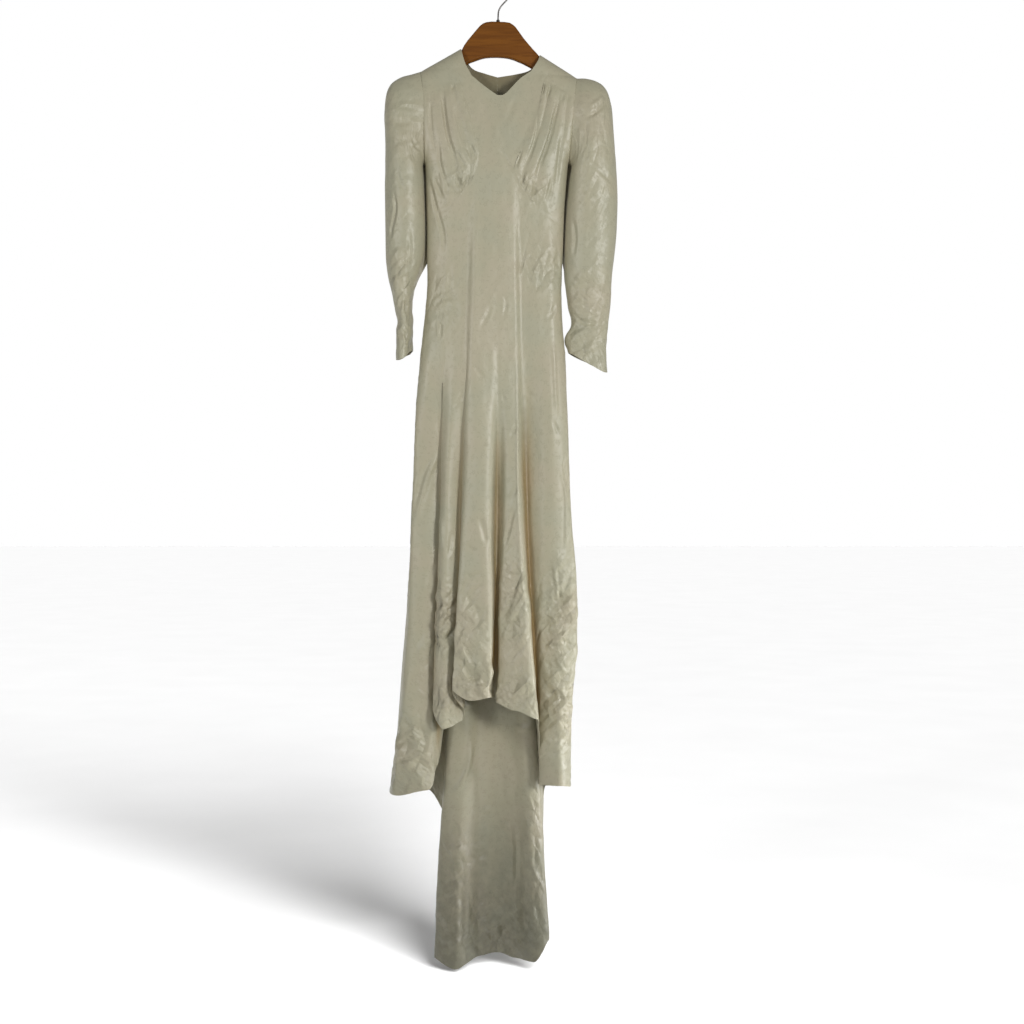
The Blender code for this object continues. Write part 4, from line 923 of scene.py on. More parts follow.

# %% [markdown]
# ## Creases placed one by one
#
# Satin keeps the creases of its long hanging: sharp lines where gathers pinch together,
# diagonal drag lines in the sleeves, short crossing creases near the hems. Each is a
# row: its width, its height (below zero for a trough), how far it leans to one side, and
# a few places that it runs through, seen from the front, all in millimetres. It fades
# towards both ends, and a trough pushes a little cloth up on both sides, as a real one does.

# %% Table of creases
ANYWHERE = (-1.0, float(len(FOLDS)))      # a range of folds that takes in the bodice
CREASE_CLOTH = {
    # group: the pieces it lies on and its range of folds. Other groups bear their piece's name
    "plastron": (("front_panel",), ANYWHERE),
    "waist": (("front_panel", "bust_right", "bust_left"), ANYWHERE),
    "wedge": (("front_panel",), (0.0, 3.4)),
    "wedge_low": (("front_panel",), (0.0, 3.2)),
    "lobe": (("front_panel",), (4.6, 8.4)),
    "ridge_a": (("front_panel",), (8.2, 12.0)),
    "ridge_b": (("front_panel",), (13.2, 17.0)),
    "ridge_c": (("front_panel",), (17.2, 20.0)),
    "back_left": (("skirt_back_left",), (20.0, 24.0)),
    "train": (("skirt_back_left", "skirt_back_right"), ANYWHERE),
}
CREASES = {
    # group: rows of width, height, lean and then x, z of each place
    "bust_right": (
        (3.2, -2.2, 0.4, -79, -223, -72, -247, -60, -286, -51, -325, -44, -364, -43, -389),
        (3, -1.6, 0.3, -101, -212, -100, -223, -97, -238),
        (3.4, -2.4, 0.5, -120, -232, -119, -264, -114, -304, -108, -338, -97, -372, -83, -408),
        (3.6, -1.4, 0.3, -95, -262, -89, -300, -78, -342, -68, -374),
        (2.8, -2.2, 0.4, -91, -368, -80, -389, -68, -408),
        (2.8, 1.6, 0, -76, -359, -63, -385, -55, -402),
        (2.8, -2, 0.3, -63, -349, -53, -372, -46, -391),
        (3.4, -1.4, 0.2, -129, -338, -125, -391, -114, -428, -107, -455),
        (3.4, -1.2, 0.2, -146, -261, -147, -289, -144, -328),
        (3, 1.8, 0, -85, -417, -78, -428, -72, -436),
        (2.8, -1.6, 0, -91, -423, -85, -436, -78, -445),
        (3, 1.6, 0, -100, -432, -91, -442, -83, -449),
        (3.2, -1.2, 0, -112, -434, -104, -449, -93, -457),
        (2.4, -1.4, 0, -114, -443, -108, -460),
        (3.4, -1.2, 0.2, -140, -419, -127, -449, -112, -475),
    ),
    "bust_left": (
        (3.4, -2.6, -0.5, 128, -253, 124, -274, 117, -300, 109, -336, 98, -370, 85, -406, 77, -434),
        (2.8, -2, -0.3, 49, -355, 43, -381, 35, -406),
        (3, -2, 0, 95, -215, 95, -228, 92, -247),
        (3, -1.4, 0, 111, -223, 108, -236, 102, -253),
        (2.6, -1.4, 0, 136, -240, 136, -251, 133, -264),
        (2.6, -1.2, 0, 149, -240, 148, -251, 146, -262),
        (3, -1.8, -0.2, 112, -423, 108, -449, 98, -474),
        (2.8, -1.8, -0.2, 78, -440, 75, -453, 69, -466),
        (3.4, -1.4, -0.3, 83, -274, 81, -321, 71, -364, 58, -402),
        (2.8, -1.8, 0, 54, -419, 49, -428, 45, -436),
        (2.8, 1.6, 0, 62, -410, 56, -428, 54, -440),
        (3.6, -1.2, -0.2, 134, -321, 128, -385, 122, -449),
    ),
    "plastron": (
        (6, -0.8, 0, -38, -252, -29, -284, -21, -318),
        (6, -0.8, 0, 36, -248, 24, -284, 13, -313),
        (7, -0.8, 0, 3, -301, 9, -343, 20, -377),
        (4, -1.2, 0.3, -2, -360, 9, -375, 28, -409),
    ),
    "waist": (
        (4, -1.8, 0.4, -159, -396, -151, -423, -138, -474, -129, -504, -119, -540, -119, -577, -129, -594),
        (2.2, -1.2, 0, 115, -602, 130, -607),
        (2.2, 1.2, 0, 113, -611, 130, -617),
        (2.2, -1.2, 0, 115, -621, 130, -626),
        (2.2, 1, 0, 117, -632, 130, -636),
        (2, 1, 0, 130, -555, 131, -598, 130, -638),
        (3, -1.4, 0.3, 54, -602, 75, -619, 98, -613),
        (3, -1.4, 0.3, 77, -587, 88, -615, 79, -645),
        (3, 1.2, 0, 94, -638, 111, -634, 124, -623),
        (2.8, -1.2, 0, 60, -632, 68, -642, 75, -655),
        (3.4, -2.2, 0.4, -142, -698, -121, -682, -91, -674),
        (3.2, -2.2, 0.4, 119, -689, 113, -706, 100, -723),
        (3.4, -1.4, 0, -129, -721, -123, -742, -125, -772),
        (4.5, -1, 0, -106, -602, -102, -640, -110, -672),
        (4, -1, 0, -15, -696, -27, -721, -42, -747),
        (3, -1.2, 0.3, 9, -674, 15, -693, 9, -721),
        (3, 1.2, 0, 115, -764, 119, -853, 124, -946),
        (2.8, -1.4, 0.2, 113, -940, 122, -953, 126, -968),
        (3, -1.2, 0, 60, -881, 79, -887),
        (3.2, -1.2, 0.2, -53, -823, -40, -840, -25, -851),
        (3.4, -1.2, 0.2, -76, -878, -87, -900, -102, -917),
    ),
    "wedge": (
        (6, 2.6, 0, -129, -1004, -153, -1054, -170, -1121, -181, -1172),
        (5, -1.4, 0, -142, -1004, -161, -1052, -176, -1103),
        (5, -1.4, 0, -135, -1237, -148, -1269, -155, -1305),
    ),
    "wedge_low": (
        (4.2, -2.6, 0.4, -223, -1672, -195, -1664, -162, -1635),
        (3.6, -2.6, -0.3, -210, -1566, -197, -1592, -182, -1618, -160, -1640),
        (3.6, 2, 0, -195, -1583, -180, -1603, -160, -1631),
        (3.8, -1.8, 0.2, -219, -1640, -206, -1629, -186, -1620),
        (3.4, 1.6, 0, -193, -1705, -184, -1692, -169, -1681),
        (3.4, -1.6, 0, -167, -1664, -182, -1685, -195, -1709),
        (5, 1.8, 0, -191, -1465, -199, -1519, -208, -1566),
        (4, -1.4, 0, -175, -1454, -167, -1488, -162, -1540),
    ),
    "lobe": (
        (3.4, -2.6, 0.4, -134, -1339, -117, -1332, -100, -1341),
        (3.6, 2.6, 0, -100, -1343, -117, -1360, -130, -1383),
        (3, -2.2, 0, -109, -1358, -119, -1371, -126, -1390),
        (2.6, 1.6, 0, -143, -1407, -132, -1405, -119, -1413),
        (2.6, -1.6, 0, -139, -1424, -130, -1420, -119, -1422),
        (3.4, -1.4, 0, -104, -1178, -104, -1204, -107, -1232),
        (3.4, -1.6, 0.3, -132, -1289, -115, -1309, -100, -1317),
        (4, 1.6, 0, -124, -1133, -122, -1172, -119, -1219),
        (3, -1.6, 0, -126, -1522, -113, -1535, -100, -1561),
        (3, 1.4, 0, -132, -1561, -113, -1544, -94, -1539),
    ),
    "ridge_a": (
        (2.6, -2, 0.3, -73, -1265, -59, -1271, -35, -1262),
        (3, -1.4, 0.3, -61, -1307, -46, -1298, -29, -1284),
        (2.6, -1.6, 0, -90, -1385, -76, -1393, -59, -1389),
        (3.6, -2.8, 0.5, -78, -1406, -63, -1436, -46, -1465),
        (2.8, -1.8, 0.3, -31, -1434, -35, -1450, -38, -1467),
        (3, -2.2, 0.4, -71, -1474, -59, -1484, -42, -1488),
        (3, 2.4, 0, -67, -1508, -59, -1518, -50, -1529),
        (2.6, -2.2, 0.3, -50, -1501, -38, -1495, -23, -1497),
        (2.6, 2.2, 0, -38, -1510, -31, -1520, -23, -1531),
        (3, -2.2, 0.3, -59, -1486, -67, -1497, -76, -1510),
        (2.6, 1.8, 0, -46, -1510, -40, -1524),
        (4, -1.2, 0.2, -67, -1201, -59, -1212, -46, -1220),
        (5, -1.4, 0.2, -44, -1140, -33, -1172, -27, -1210),
        (3.4, -1.4, 0.3, -86, -1415, -76, -1404, -69, -1391),
        (4, -1.2, 0, -52, -1319, -44, -1351, -40, -1387),
    ),
    "ridge_b": (
        (3.4, -2.4, 0.4, 32, -1123, 22, -1167, 9, -1212),
        (3, -2.6, 0.5, 43, -1275, 26, -1316, 9, -1352),
        (3, 2, 0, 49, -1284, 34, -1320, 20, -1352),
        (3, -2.8, 0.5, 47, -1341, 28, -1375, 11, -1409),
        (3.2, -2, 0.4, 58, -1358, 39, -1400, 22, -1426),
        (2.6, -2.2, 0.3, 11, -1263, 32, -1268, 56, -1263),
        (3.4, -2, 0.4, 43, -939, 32, -960, 20, -977),
        (3, -1.2, 0, 7, -884, 11, -894, 17, -905),
        (3.4, -1.4, 0.3, 32, -1464, 22, -1477, 15, -1487),
        (3, 1.6, 0, 9, -1532, 17, -1536, 28, -1546),
        (2.6, -1.4, 0, 72, -1553, 81, -1568),
        (4, -1.2, 0.2, 45, -1066, 32, -1091, 20, -1117),
        (3.6, -1.2, 0, 49, -1426, 41, -1464, 36, -1494),
    ),
    "ridge_c": (
        (3.6, 2.2, 0, 116, -1236, 122, -1279, 126, -1335),
        (3.4, -2.6, 0.4, 124, -1296, 137, -1322, 146, -1337),
        (2.8, -2, 0, 114, -1341, 131, -1339, 150, -1341),
        (3.4, -2.6, 0.4, 116, -1395, 135, -1369, 152, -1345),
        (3.4, 2.4, 0, 107, -1382, 122, -1395, 144, -1399),
        (3.4, -2.2, 0.3, 109, -1410, 122, -1422, 137, -1418),
        (3.4, -2.2, 0.3, 131, -1416, 144, -1410, 159, -1431),
        (3.4, -1.6, 0.2, 99, -1450, 107, -1467, 111, -1489),
        (3.4, 1.8, 0, 116, -1356, 126, -1390, 139, -1414),
        (3.6, 1.8, 0, 122, -1440, 135, -1467, 152, -1485),
        (3.2, 2.6, 0, 126, -1515, 144, -1506, 161, -1515),
        (3.2, -2.6, 0.4, 126, -1510, 137, -1536, 161, -1549),
        (3, 2.6, 0, 120, -1530, 133, -1549, 152, -1562),
        (3.4, -2, 0.2, 99, -1542, 109, -1523, 122, -1515),
        (2.8, 2, 0, 133, -1562, 146, -1579, 159, -1587),
        (4, -1.2, 0, 105, -1268, 103, -1322, 94, -1365),
        (3.4, -1.4, 0.2, 146, -1011, 141, -1044, 144, -1082),
        (2.6, 1.8, 0, 135, -1039, 144, -1108, 144, -1236),
    ),
    "back_left": (
        (4.4, -2.6, 0.3, 83, -1670, 109, -1670, 138, -1650, 159, -1639),
        (3, 2, 0, 127, -1688, 138, -1696, 151, -1712),
        (3, -1.8, 0, 133, -1677, 146, -1688, 159, -1703),
        (3.4, 1.4, 0, 107, -1600, 124, -1613, 146, -1618),
    ),
    "train": (
        (5, -2.2, 0.4, -61, -1626, -66, -1674, -83, -1722, -112, -1761),
        (6, 2.6, 0, -85, -1905, -79, -1979, -81, -2099),
        (5, -1.2, 0.3, -42, -1785, -24, -1788, -3, -1786),
        (4.5, -1.8, 0.3, -118, -1862, -96, -1866, -72, -1867),
        (4, -1.4, 0.3, -64, -1866, -48, -1864, -31, -1866),
        (4, 1.6, 0, -64, -1886, -42, -1888, -24, -1879),
        (4, -1.6, 0.3, -109, -1912, -98, -1918, -88, -1938),
        (3.4, -1.4, 0, -116, -1964, -103, -1960, -90, -1949),
        (5, -1.2, 0.3, -48, -2038, -29, -2035, -3, -2036),
        (3.4, 1, 0, -48, -1993, -40, -1986, -31, -1986),
        (4.5, 1, 0, 69, -1735, 76, -1768, 72, -1794),
        (3.8, -1.2, 0.2, 54, -1809, 65, -1818, 74, -1827),
        (4.5, 1.2, 0, 74, -1831, 78, -1870, 76, -1918),
        (3.8, -1, 0, 65, -1881, 76, -1910, 85, -1940),
        (4.5, 1.2, 0, 83, -1931, 78, -1971, 89, -2027),
        (5, -1.4, 0, 32, -1801, 39, -1870, 37, -1958),
        (5, -1, 0, 2, -1822, 11, -1820, 26, -1822),
    ),
    "sleeve_right": (
        (3.4, -1.8, 0.3, -235, -356, -214, -352, -186, -345),
        (3, -2, 0.2, -184, -341, -175, -358, -161, -366),
        (2.8, 1.6, 0, -188, -358, -175, -349, -161, -339),
        (3.6, -1.2, 0, -224, -277, -199, -275, -171, -281),
        (3.6, -1.4, 0.2, -228, -309, -205, -311, -180, -305),
        (3, -2.6, 0.4, -226, -447, -220, -472, -220, -498, -228, -531, -231, -561),
        (4, -1.4, 0, -218, -404, -209, -434, -195, -464),
        (3.4, -1.8, 0.3, -216, -627, -207, -614, -195, -604),
        (3, -2.4, 0.4, -195, -680, -197, -701, -190, -727),
        (3, 1.8, 0, -201, -676, -205, -703, -209, -731),
        (4, -1.4, 0, -190, -531, -188, -578, -192, -631),
        (3, 1.4, 0, -214, -739, -203, -756, -201, -782),
    ),
    "sleeve_left": (
        (3.6, -2.6, 0.4, 232, -257, 215, -276, 200, -288, 181, -297),
        (4, 1.8, 0, 225, -246, 206, -265, 189, -276),
        (3.6, -1.8, 0.4, 183, -390, 215, -410, 249, -439),
        (3.6, -1.4, 0.2, 172, -446, 189, -456, 211, -469),
        (3.4, -1.8, 0.3, 160, -690, 177, -679, 202, -675),
        (3.4, -2.4, 0.4, 162, -719, 185, -730, 215, -732),
        (3, 1.6, 0, 160, -705, 179, -711, 198, -707),
        (3.6, -2, 0.3, 170, -798, 198, -790, 230, -779),
        (3, -1.4, 0.2, 151, -652, 168, -662, 189, -664),
        (4, -1.4, 0, 155, -503, 162, -545, 158, -594),
        (3.4, -1.2, 0, 191, -322, 211, -331, 234, -329),
        (3, -1.4, 0.2, 208, -603, 221, -594, 236, -596),
    ),
}
HIDDEN_CREASES = {
    # the same kinds of crease on the sides that face away
    "bodice_back_right": (
        (5, -2, 0.3, -150, -300, -128, -345, -108, -410),
        (4.5, -1.6, 0.3, -140, -430, -110, -455, -70, -462),
        (6, -1.4, 0, -95, -230, -88, -290, -92, -360),
        (4.5, 1.4, 0, -60, -395, -34, -420, -10, -428),
    ),
    "bodice_back_left": (
        (5, -2, 0.3, 146, -310, 120, -352, 96, -425),
        (4.5, -1.6, 0.3, 128, -440, 98, -470, 50, -476),
        (6, -1.4, 0, 98, -238, 90, -300, 94, -372),
        (4.5, 1.4, 0, 52, -402, 30, -430, 6, -440),
    ),
    "skirt_back_right": (
        (6, -2.2, 0.3, -138, -560, -104, -600, -60, -618),
        (5, -1.8, 0.3, -120, -700, -90, -726, -54, -730),
        (7, 2, 0, -72, -820, -66, -930, -70, -1060),
        (5, -2.2, 0.4, -52, -1180, -36, -1215, -30, -1265),
        (5, -2.4, 0.4, -150, -1420, -128, -1462, -118, -1520),
        (5, -2.2, 0.3, -96, -1540, -74, -1556, -44, -1552),
        (4.5, 2, 0, -190, -1600, -170, -1640, -164, -1690),
        (5, -2, 0.3, -86, -1300, -70, -1340, -66, -1392),
    ),
    "skirt_back_left": (
        (6, -2.2, 0.3, 118, -575, 86, -622, 40, -636),
        (5, -1.8, 0.3, 112, -716, 80, -738, 36, -734),
        (7, 2, 0, 52, -836, 58, -955, 52, -1080),
        (5, -2.2, 0.4, 30, -1155, 44, -1200, 60, -1222),
        (5, -2.4, 0.4, 118, -1395, 104, -1440, 100, -1500),
        (5, -2.2, 0.3, 76, -1585, 58, -1604, 26, -1596),
        (4.5, 2, 0, 134, -1560, 122, -1600, 120, -1660),
        (5, -2, 0.3, 22, -1320, 36, -1352, 40, -1400),
    ),
}
print(f"{sum(len(rows) for rows in CREASES.values())} creases in front, "
      f"{sum(len(rows) for rows in HIDDEN_CREASES.values())} behind")

# %% [markdown]
# ## From a table row to a crease
#
# For every point near a crease, the nearest place on its curve gives how far across it
# the point lies and how far along. A bell curve across and an ease along make the form.
# Points are only taken on the visible side of a sleeve, so its back stays free for
# creases of its own.

# %% Laying the creases
NARROWEST = 0.0030         # the finest crease that the grid can carry
STRENGTH = 1.5             # how deep the creases are pressed, against the table
FADE_IN, FADE_OUT = 0.30, 0.35         # shares of its length over which a crease fades
RIM_HEIGHT, RIM_PLACE, RIM_WIDTH = 0.22, 1.9, 0.7     # of the cloth pushed up beside it
LEAN_PULL = 1.3            # how far a lean of 1 steepens one side
SLEEVE_FACE = 0.004        # a sleeve's front and back start this far from its middle
BACK_CREASE_SCALE, BACK_CREASE_DROP = 0.985, 21.0     # from a sleeve's front to its back


def on_cloth(group):
    """Whether each point lies on the cloth of a group of creases."""
    pieces, folds = CREASE_CLOTH.get(group, ((group,), ANYWHERE))
    chosen = np.any([sheet.of_piece[piece] for piece in pieces], axis=0)
    return chosen & (sheet.fold >= folds[0]) & (sheet.fold <= folds[1])


def crease_height(places, at, width, height, lean):
    """Height of one crease at places (x, z)."""
    path = spread(at, even(20))
    start, run = path[:-1], np.diff(path, axis=0)
    length = np.linalg.norm(run, axis=1)
    gap = places[:, None] - start[None]
    along = np.clip((gap * run).sum(-1) / length ** 2, 0.0, 1.0)
    away = gap - along[..., None] * run
    distance = np.linalg.norm(away, axis=-1)
    nearest = distance.argmin(axis=1)
    pick = np.arange(len(places)), nearest
    side = np.sign(run[nearest, 0] * away[pick][:, 1] - run[nearest, 1] * away[pick][:, 0])
    q = side * distance[pick] / max(width, NARROWEST)
    share = (nearest + along[pick]) / len(run)
    fade = smooth(share / FADE_IN) * smooth((1.0 - share) / FADE_OUT)
    rim = RIM_HEIGHT * np.exp(-(abs(q) - RIM_PLACE) ** 2 / RIM_WIDTH)
    return STRENGTH * height * fade * (np.exp(-q * q) * (1.0 + LEAN_PULL * lean * q) - rim)


def lay_creases(groups, offsets, visible_side):
    """Add every crease of some groups to the offsets of the points they lie on."""
    places = sheet.points[:, [0, 2]]
    for group, rows in groups.items():
        chosen = on_cloth(group)
        if group.startswith("sleeve"):
            chosen &= sheet.points[:, 1] * visible_side > SLEEVE_FACE
        for width, height, lean, *at in rows:
            at = np.reshape(at, (-1, 2)) / MM
            beside = (places > at.min(axis=0) - 0.02) & (places < at.max(axis=0) + 0.02)
            near = np.flatnonzero(chosen & beside.all(axis=1))
            offsets[near] += crease_height(places[near], at, width / MM, height / MM, lean)


def behind(row):
    """A crease of a sleeve's front, moved and turned over for its back."""
    width, height, lean, *at = row
    at = np.reshape(at, (-1, 2)) * (BACK_CREASE_SCALE, 1.0) - (0.0, BACK_CREASE_DROP)
    return width, height, -lean, *at.ravel()


SLEEVE_BACK = {group: [behind(row) for row in CREASES[group]] for group in ("sleeve_right", "sleeve_left")}
offsets = np.zeros(len(sheet.points))
lay_creases(CREASES, offsets, visible_side=FRONT)
lay_creases(HIDDEN_CREASES, offsets, visible_side=BACK)
lay_creases(SLEEVE_BACK, offsets, visible_side=BACK)
print(f"creases move the cloth by {offsets.min() * MM:.1f} to {offsets.max() * MM:.1f} mm")

# %% [markdown]
# ## Crumples and soft waves
#
# Between the creases the satin is never flat. Long soft waves run down the skirt, and
# where the cloth has been crushed it breaks up into small facets that catch the light.
# Noise alone would look like dough, so the crushed places blend small tilted planes,
# one round each of a jittered set of centres: they meet in short straight ridges.
# Each row is a place that has been crushed, as an oval seen from the front, in millimetres.

# %% Noise and facets
def steady_random(i, j, k, seed):
    """The same random number from -1 to 1 every time for a whole-numbered cell."""
    mixed = (i * 73856093) ^ (j * 19349663) ^ (k * 83492791) ^ (seed * 26544357)
    mixed &= 0xFFFFFFFF
    mixed = ((mixed ^ (mixed >> 13)) * 1274126177) & 0xFFFFFFFF
    mixed ^= mixed >> 16
    return (mixed & 0xFFFF) / 32767.5 - 1.0


FACET_EDGE = 16.0          # the higher, the sharper the creases between planes
FACET_STRETCH = 2.2        # how long they are for their width
CORNERS = np.array([(i, j, k) for i in (0, 1) for j in (0, 1) for k in (0, 1)])
NEIGHBOURS = np.array([(i, j, k) for i in (-1, 0, 1) for j in (-1, 0, 1) for k in (-1, 0, 1)])


def waves(points, size, seed):
    """Smooth noise from about -1 to 1, whose hills are `size` apart along each axis."""
    scaled = points / np.asarray(size)
    cell = np.floor(scaled).astype(np.int64)
    t = scaled - cell
    t = t * t * t * (t * (6.0 * t - 15.0) + 10.0)
    total = np.zeros(len(points))
    for corner in CORNERS:
        weight = np.prod(np.where(corner == 1, t, 1.0 - t), axis=1)
        total += weight * steady_random(*(cell + corner).T, seed)
    return total


def centre_distance(points, size, seed):
    """Squared distance to the nearest of a jittered set of centres, a little rounded."""
    scaled = points / np.asarray(size)
    cell = np.floor(scaled).astype(np.int64)
    total = np.zeros(len(points))
    for step in NEIGHBOURS:
        home = cell + step
        jitter = np.stack([steady_random(*home.T, seed + k) for k in (1, 2, 3)], axis=-1)
        total += np.exp(-FACET_EDGE * ((scaled - home - 0.5 - 0.45 * jitter) ** 2).sum(axis=1))
    return -np.log(total + 1e-30) / FACET_EDGE


def facets(points, size, lean, seed):
    """Long flat planes about `size` across that meet in sharp creases, as shares of the size.

    They lean `lean` degrees to the wearer's left on their way up.
    """
    x, y, z = points.T
    turn = math.radians(lean)
    across, up = x * math.cos(turn) - z * math.sin(turn), x * math.sin(turn) + z * math.cos(turn)
    turned = np.stack((across, y, up), axis=-1)
    sizes = (size, 2.0 * size, FACET_STRETCH * size)
    return centre_distance(turned, sizes, seed) - centre_distance(turned, sizes, seed + 5)


CRUSHED = (
    # group, x, z, half width, half height, facet size, lean in degrees, height
    ("ridge_a", -48, -1490, 48, 45, 20, -35, 8),
    ("ridge_a", -61, -1404, 34, 100, 28, -28, 6),
    ("lobe", -119, -1364, 30, 75, 20, 50, 9),
    ("lobe", -110, -1545, 36, 70, 26, -40, 8),
    ("wedge_low", -192, -1665, 50, 85, 30, -48, 11),
    ("wedge", -160, -1500, 20, 130, 40, 8, 5),
    ("ridge_b", 32, -1341, 36, 110, 28, 30, 6),
    ("ridge_b", 34, -1520, 56, 40, 22, 45, 6),
    ("ridge_c", 131, -1365, 43, 120, 26, 40, 11),
    ("ridge_c", 135, -1545, 40, 90, 24, -50, 11),
    ("back_left", 138, -1695, 32, 55, 24, -45, 9),
    ("train", 76, -1889, 20, 194, 24, 8, 2.4),
    ("train", -20, -2043, 129, 65, 30, 84, 3),
    ("train", -96, -1910, 30, 86, 28, 70, 4),
    ("sleeve_right", -204, -682, 30, 118, 22, -20, 4.2),
    ("sleeve_left", 194, -729, 47, 107, 26, 70, 4.2),
    ("sleeve_right", -201, -312, 43, 90, 34, 75, 2.4),
    ("sleeve_left", 208, -312, 43, 90, 34, 55, 2.4),
    ("sleeve_right", -212, -470, 30, 110, 34, 15, 2.6),
    ("sleeve_left", 215, -510, 35, 110, 38, 35, 2),
    ("waist", 88, -615, 43, 47, 18, 60, 2),
    ("waist", -125, -683, 43, 65, 24, 65, 2),
    ("bust_right", -78, -432, 30, 26, 12, 30, 2.2),
    ("bust_left", 71, -445, 34, 26, 12, -30, 2.2),
)
PRESSED = 0.25             # a place counts as fully crushed at this height for its facets
HEM_REACH, HEM_FADE = 0.30, 0.11       # how far up from the hems the cloth is crumpled
HEM_CRUMPLE, HEM_FACET, HEM_LEAN = 0.0050, 0.024, 35.0
HEM_CRUSHED = 0.8
HEM_PATCHES = (0.06, 0.20, 0.09)       # size of the crumpled patches along each axis
WAVE_LAYERS = (
    # size x, y, z,         height
    (0.060, 0.200, 0.190, 0.0016),
    (0.026, 0.100, 0.085, 0.0008),
    (0.011, 0.050, 0.028, 0.00030),
)


def soft_waves():
    """Waves over the whole dress, quieter up at the shoulders."""
    height = np.zeros(len(sheet.points))
    for seed, (*size, high) in enumerate(WAVE_LAYERS):
        height += high * waves(sheet.points + 0.37 * seed, size, 11 + seed)
    return height


def crushed_places():
    """Facets where the cloth has been crushed, and how crushed each point is."""
    height, crushed = np.zeros(len(sheet.points)), np.zeros(len(sheet.points))
    for seed, (group, *sizes, lean, high) in enumerate(CRUSHED):
        x, z, half_width, half_height, size = np.array(sizes) / MM
        reach = np.hypot((sheet.points[:, 0] - x) / half_width, (sheet.points[:, 2] - z) / half_height)
        mask = on_cloth(group) * smooth(1.5 - reach)
        near = np.flatnonzero(mask > 0.0)
        height[near] += high / MM * mask[near] * facets(sheet.points[near], size, lean, 100 + 10 * seed)
        pressed = min(high / MM / (PRESSED * size), 1.0)
        crushed[near] = np.maximum(crushed[near], pressed * mask[near])
    near = np.flatnonzero(sheet.hem < HEM_REACH)
    patches = smooth(0.5 + waves(sheet.points[near], HEM_PATCHES, 31))
    mask = np.exp(-(sheet.hem[near] / HEM_FADE) ** 2) * patches
    height[near] += HEM_CRUMPLE * mask * facets(sheet.points[near], HEM_FACET, HEM_LEAN, 41)
    crushed[near] = np.maximum(crushed[near], HEM_CRUSHED * mask)
    return height, crushed


crush_height, crushed = crushed_places()
offsets += soft_waves() + crush_height
print(f"{(crushed > 0.2).sum()} points lie in crushed places")

# %% [markdown]
# ## Planes over the hips
#
# Heavy satin bends along straight lines. From the empire seam down to where the skirt's
# folds are full, it hangs in a few long planes, one towards the light and the next away
# from it. Each line between two planes is a row: its x at three heights, and how far the
# cloth stands off there.

# %% Hip planes
HIP_LINES = (
    # x at -0.50, at -0.70, at -0.95, height of the cloth there
    (-0.158, -0.160, -0.184, 0.0000),
    (-0.120, -0.126, -0.140, 0.0025),
    (-0.062, -0.067, -0.078, 0.0020),
    (-0.050, -0.056, -0.067, 0.0090),
    (-0.006, -0.004, -0.004, 0.0045),
    (0.034, 0.038, 0.042, 0.0035),
    (0.042, 0.046, 0.050, -0.0040),
    (0.100, 0.104, 0.106, 0.0030),
    (0.110, 0.112, 0.114, 0.0045),
    (0.139, 0.135, 0.150, 0.0000),
)
HIP_DEPTHS = (0.50, 0.70, 0.95)
HIP_ROUNDING = 0.0035      # half width over which two planes blend
HIP_TOP, HIP_RISE = -0.42, 0.20        # the planes start here and grow over this height
HIP_FOOT, HIP_FALL = -1.14, 0.26       # and end here after fading over this one


def hip_planes():
    """Long flat planes from the empire seam down to where the skirt's folds are full."""
    x, _, z = sheet.points.T
    rows = np.array(HIP_LINES)
    lines = np.stack([np.interp(-z, HIP_DEPTHS, row[:3]) for row in rows])
    height = np.zeros(len(x))
    for shift in (-HIP_ROUNDING, 0.0, HIP_ROUNDING):
        for left, right, low, high in zip(lines, lines[1:], rows[:, 3], rows[1:, 3]):
            share = (x + shift - left) / (right - left)
            within = (share >= 0.0) & (share < 1.0)
            height += np.where(within, low + (high - low) * share, 0.0) / 3.0
    return height * on_cloth("waist") * smooth((HIP_TOP - z) / HIP_RISE) * smooth((z - HIP_FOOT) / HIP_FALL)


offsets += hip_planes()
print(f"{len(HIP_LINES) - 1} planes over the hips")

# %% [markdown]
# ## Seams, hems and close fits
#
# A seam pulls its two pieces into a shallow groove and puckers the cloth beside it, and a
# turned-up hem shows as a faint line along its stitches. Where the cloth lies close to
# something else, at the shoulders on the hanger's arms and where the sleeves hang
# against the sides, it may hardly move, or it would touch.

# %% Seams and limits
SEAM_DEPTH = 0.0004
SEAM_WIDTH = 0.0022
HEM_TURN = 0.013           # width of the turned-up hem
HEM_GROOVE = 0.00035
HEM_GROOVE_WIDTH = 0.0030
SEAM_EASE, SEAM_CALM = 0.25, 0.008     # where the easing starts on a seam, and its reach
PUCKER_SIZE, PUCKER_HEIGHT = 0.009, 0.0006
PUCKER_PLACE, PUCKER_WIDTH = 0.006, 0.005      # from the seam
SHOULDER_KEEP = 0.15       # share of the movement left on the hanger's arms
SHOULDER_CALM = 0.060      # and the depth below them where it is whole again
ARM_CALM = 0.85            # share taken away at the sides, down to the foot beside the arm
ARM_CALM_FOOT, ARM_CALM_REACH = -0.62, 0.022
NECK_SLIT_FOOT = -0.238    # foot of the opening at the centre back
NECK_SLIT = 0.0016         # half its width at the neck


def shared_by(one, other):
    """Whether each point belongs to both of two pieces."""
    return sheet.of_piece[one] & sheet.of_piece[other]


def seam_points():
    """Points of the seams that pull: all but the train's flat felled one."""
    in_pieces = np.sum(list(sheet.of_piece.values()), axis=0)
    return (in_pieces > 1) & ~shared_by("skirt_back_left", "skirt_back_right")


def near_seams(points):
    """Distance of every point from the nearest seam, as far as 12 mm."""
    on_seam = np.flatnonzero(seam_points())
    tree = KDTree(len(on_seam))
    for number, place in enumerate(points[on_seam]):
        tree.insert(place, number)
    tree.balance()
    return np.array([tree.find(place)[2] for place in points])


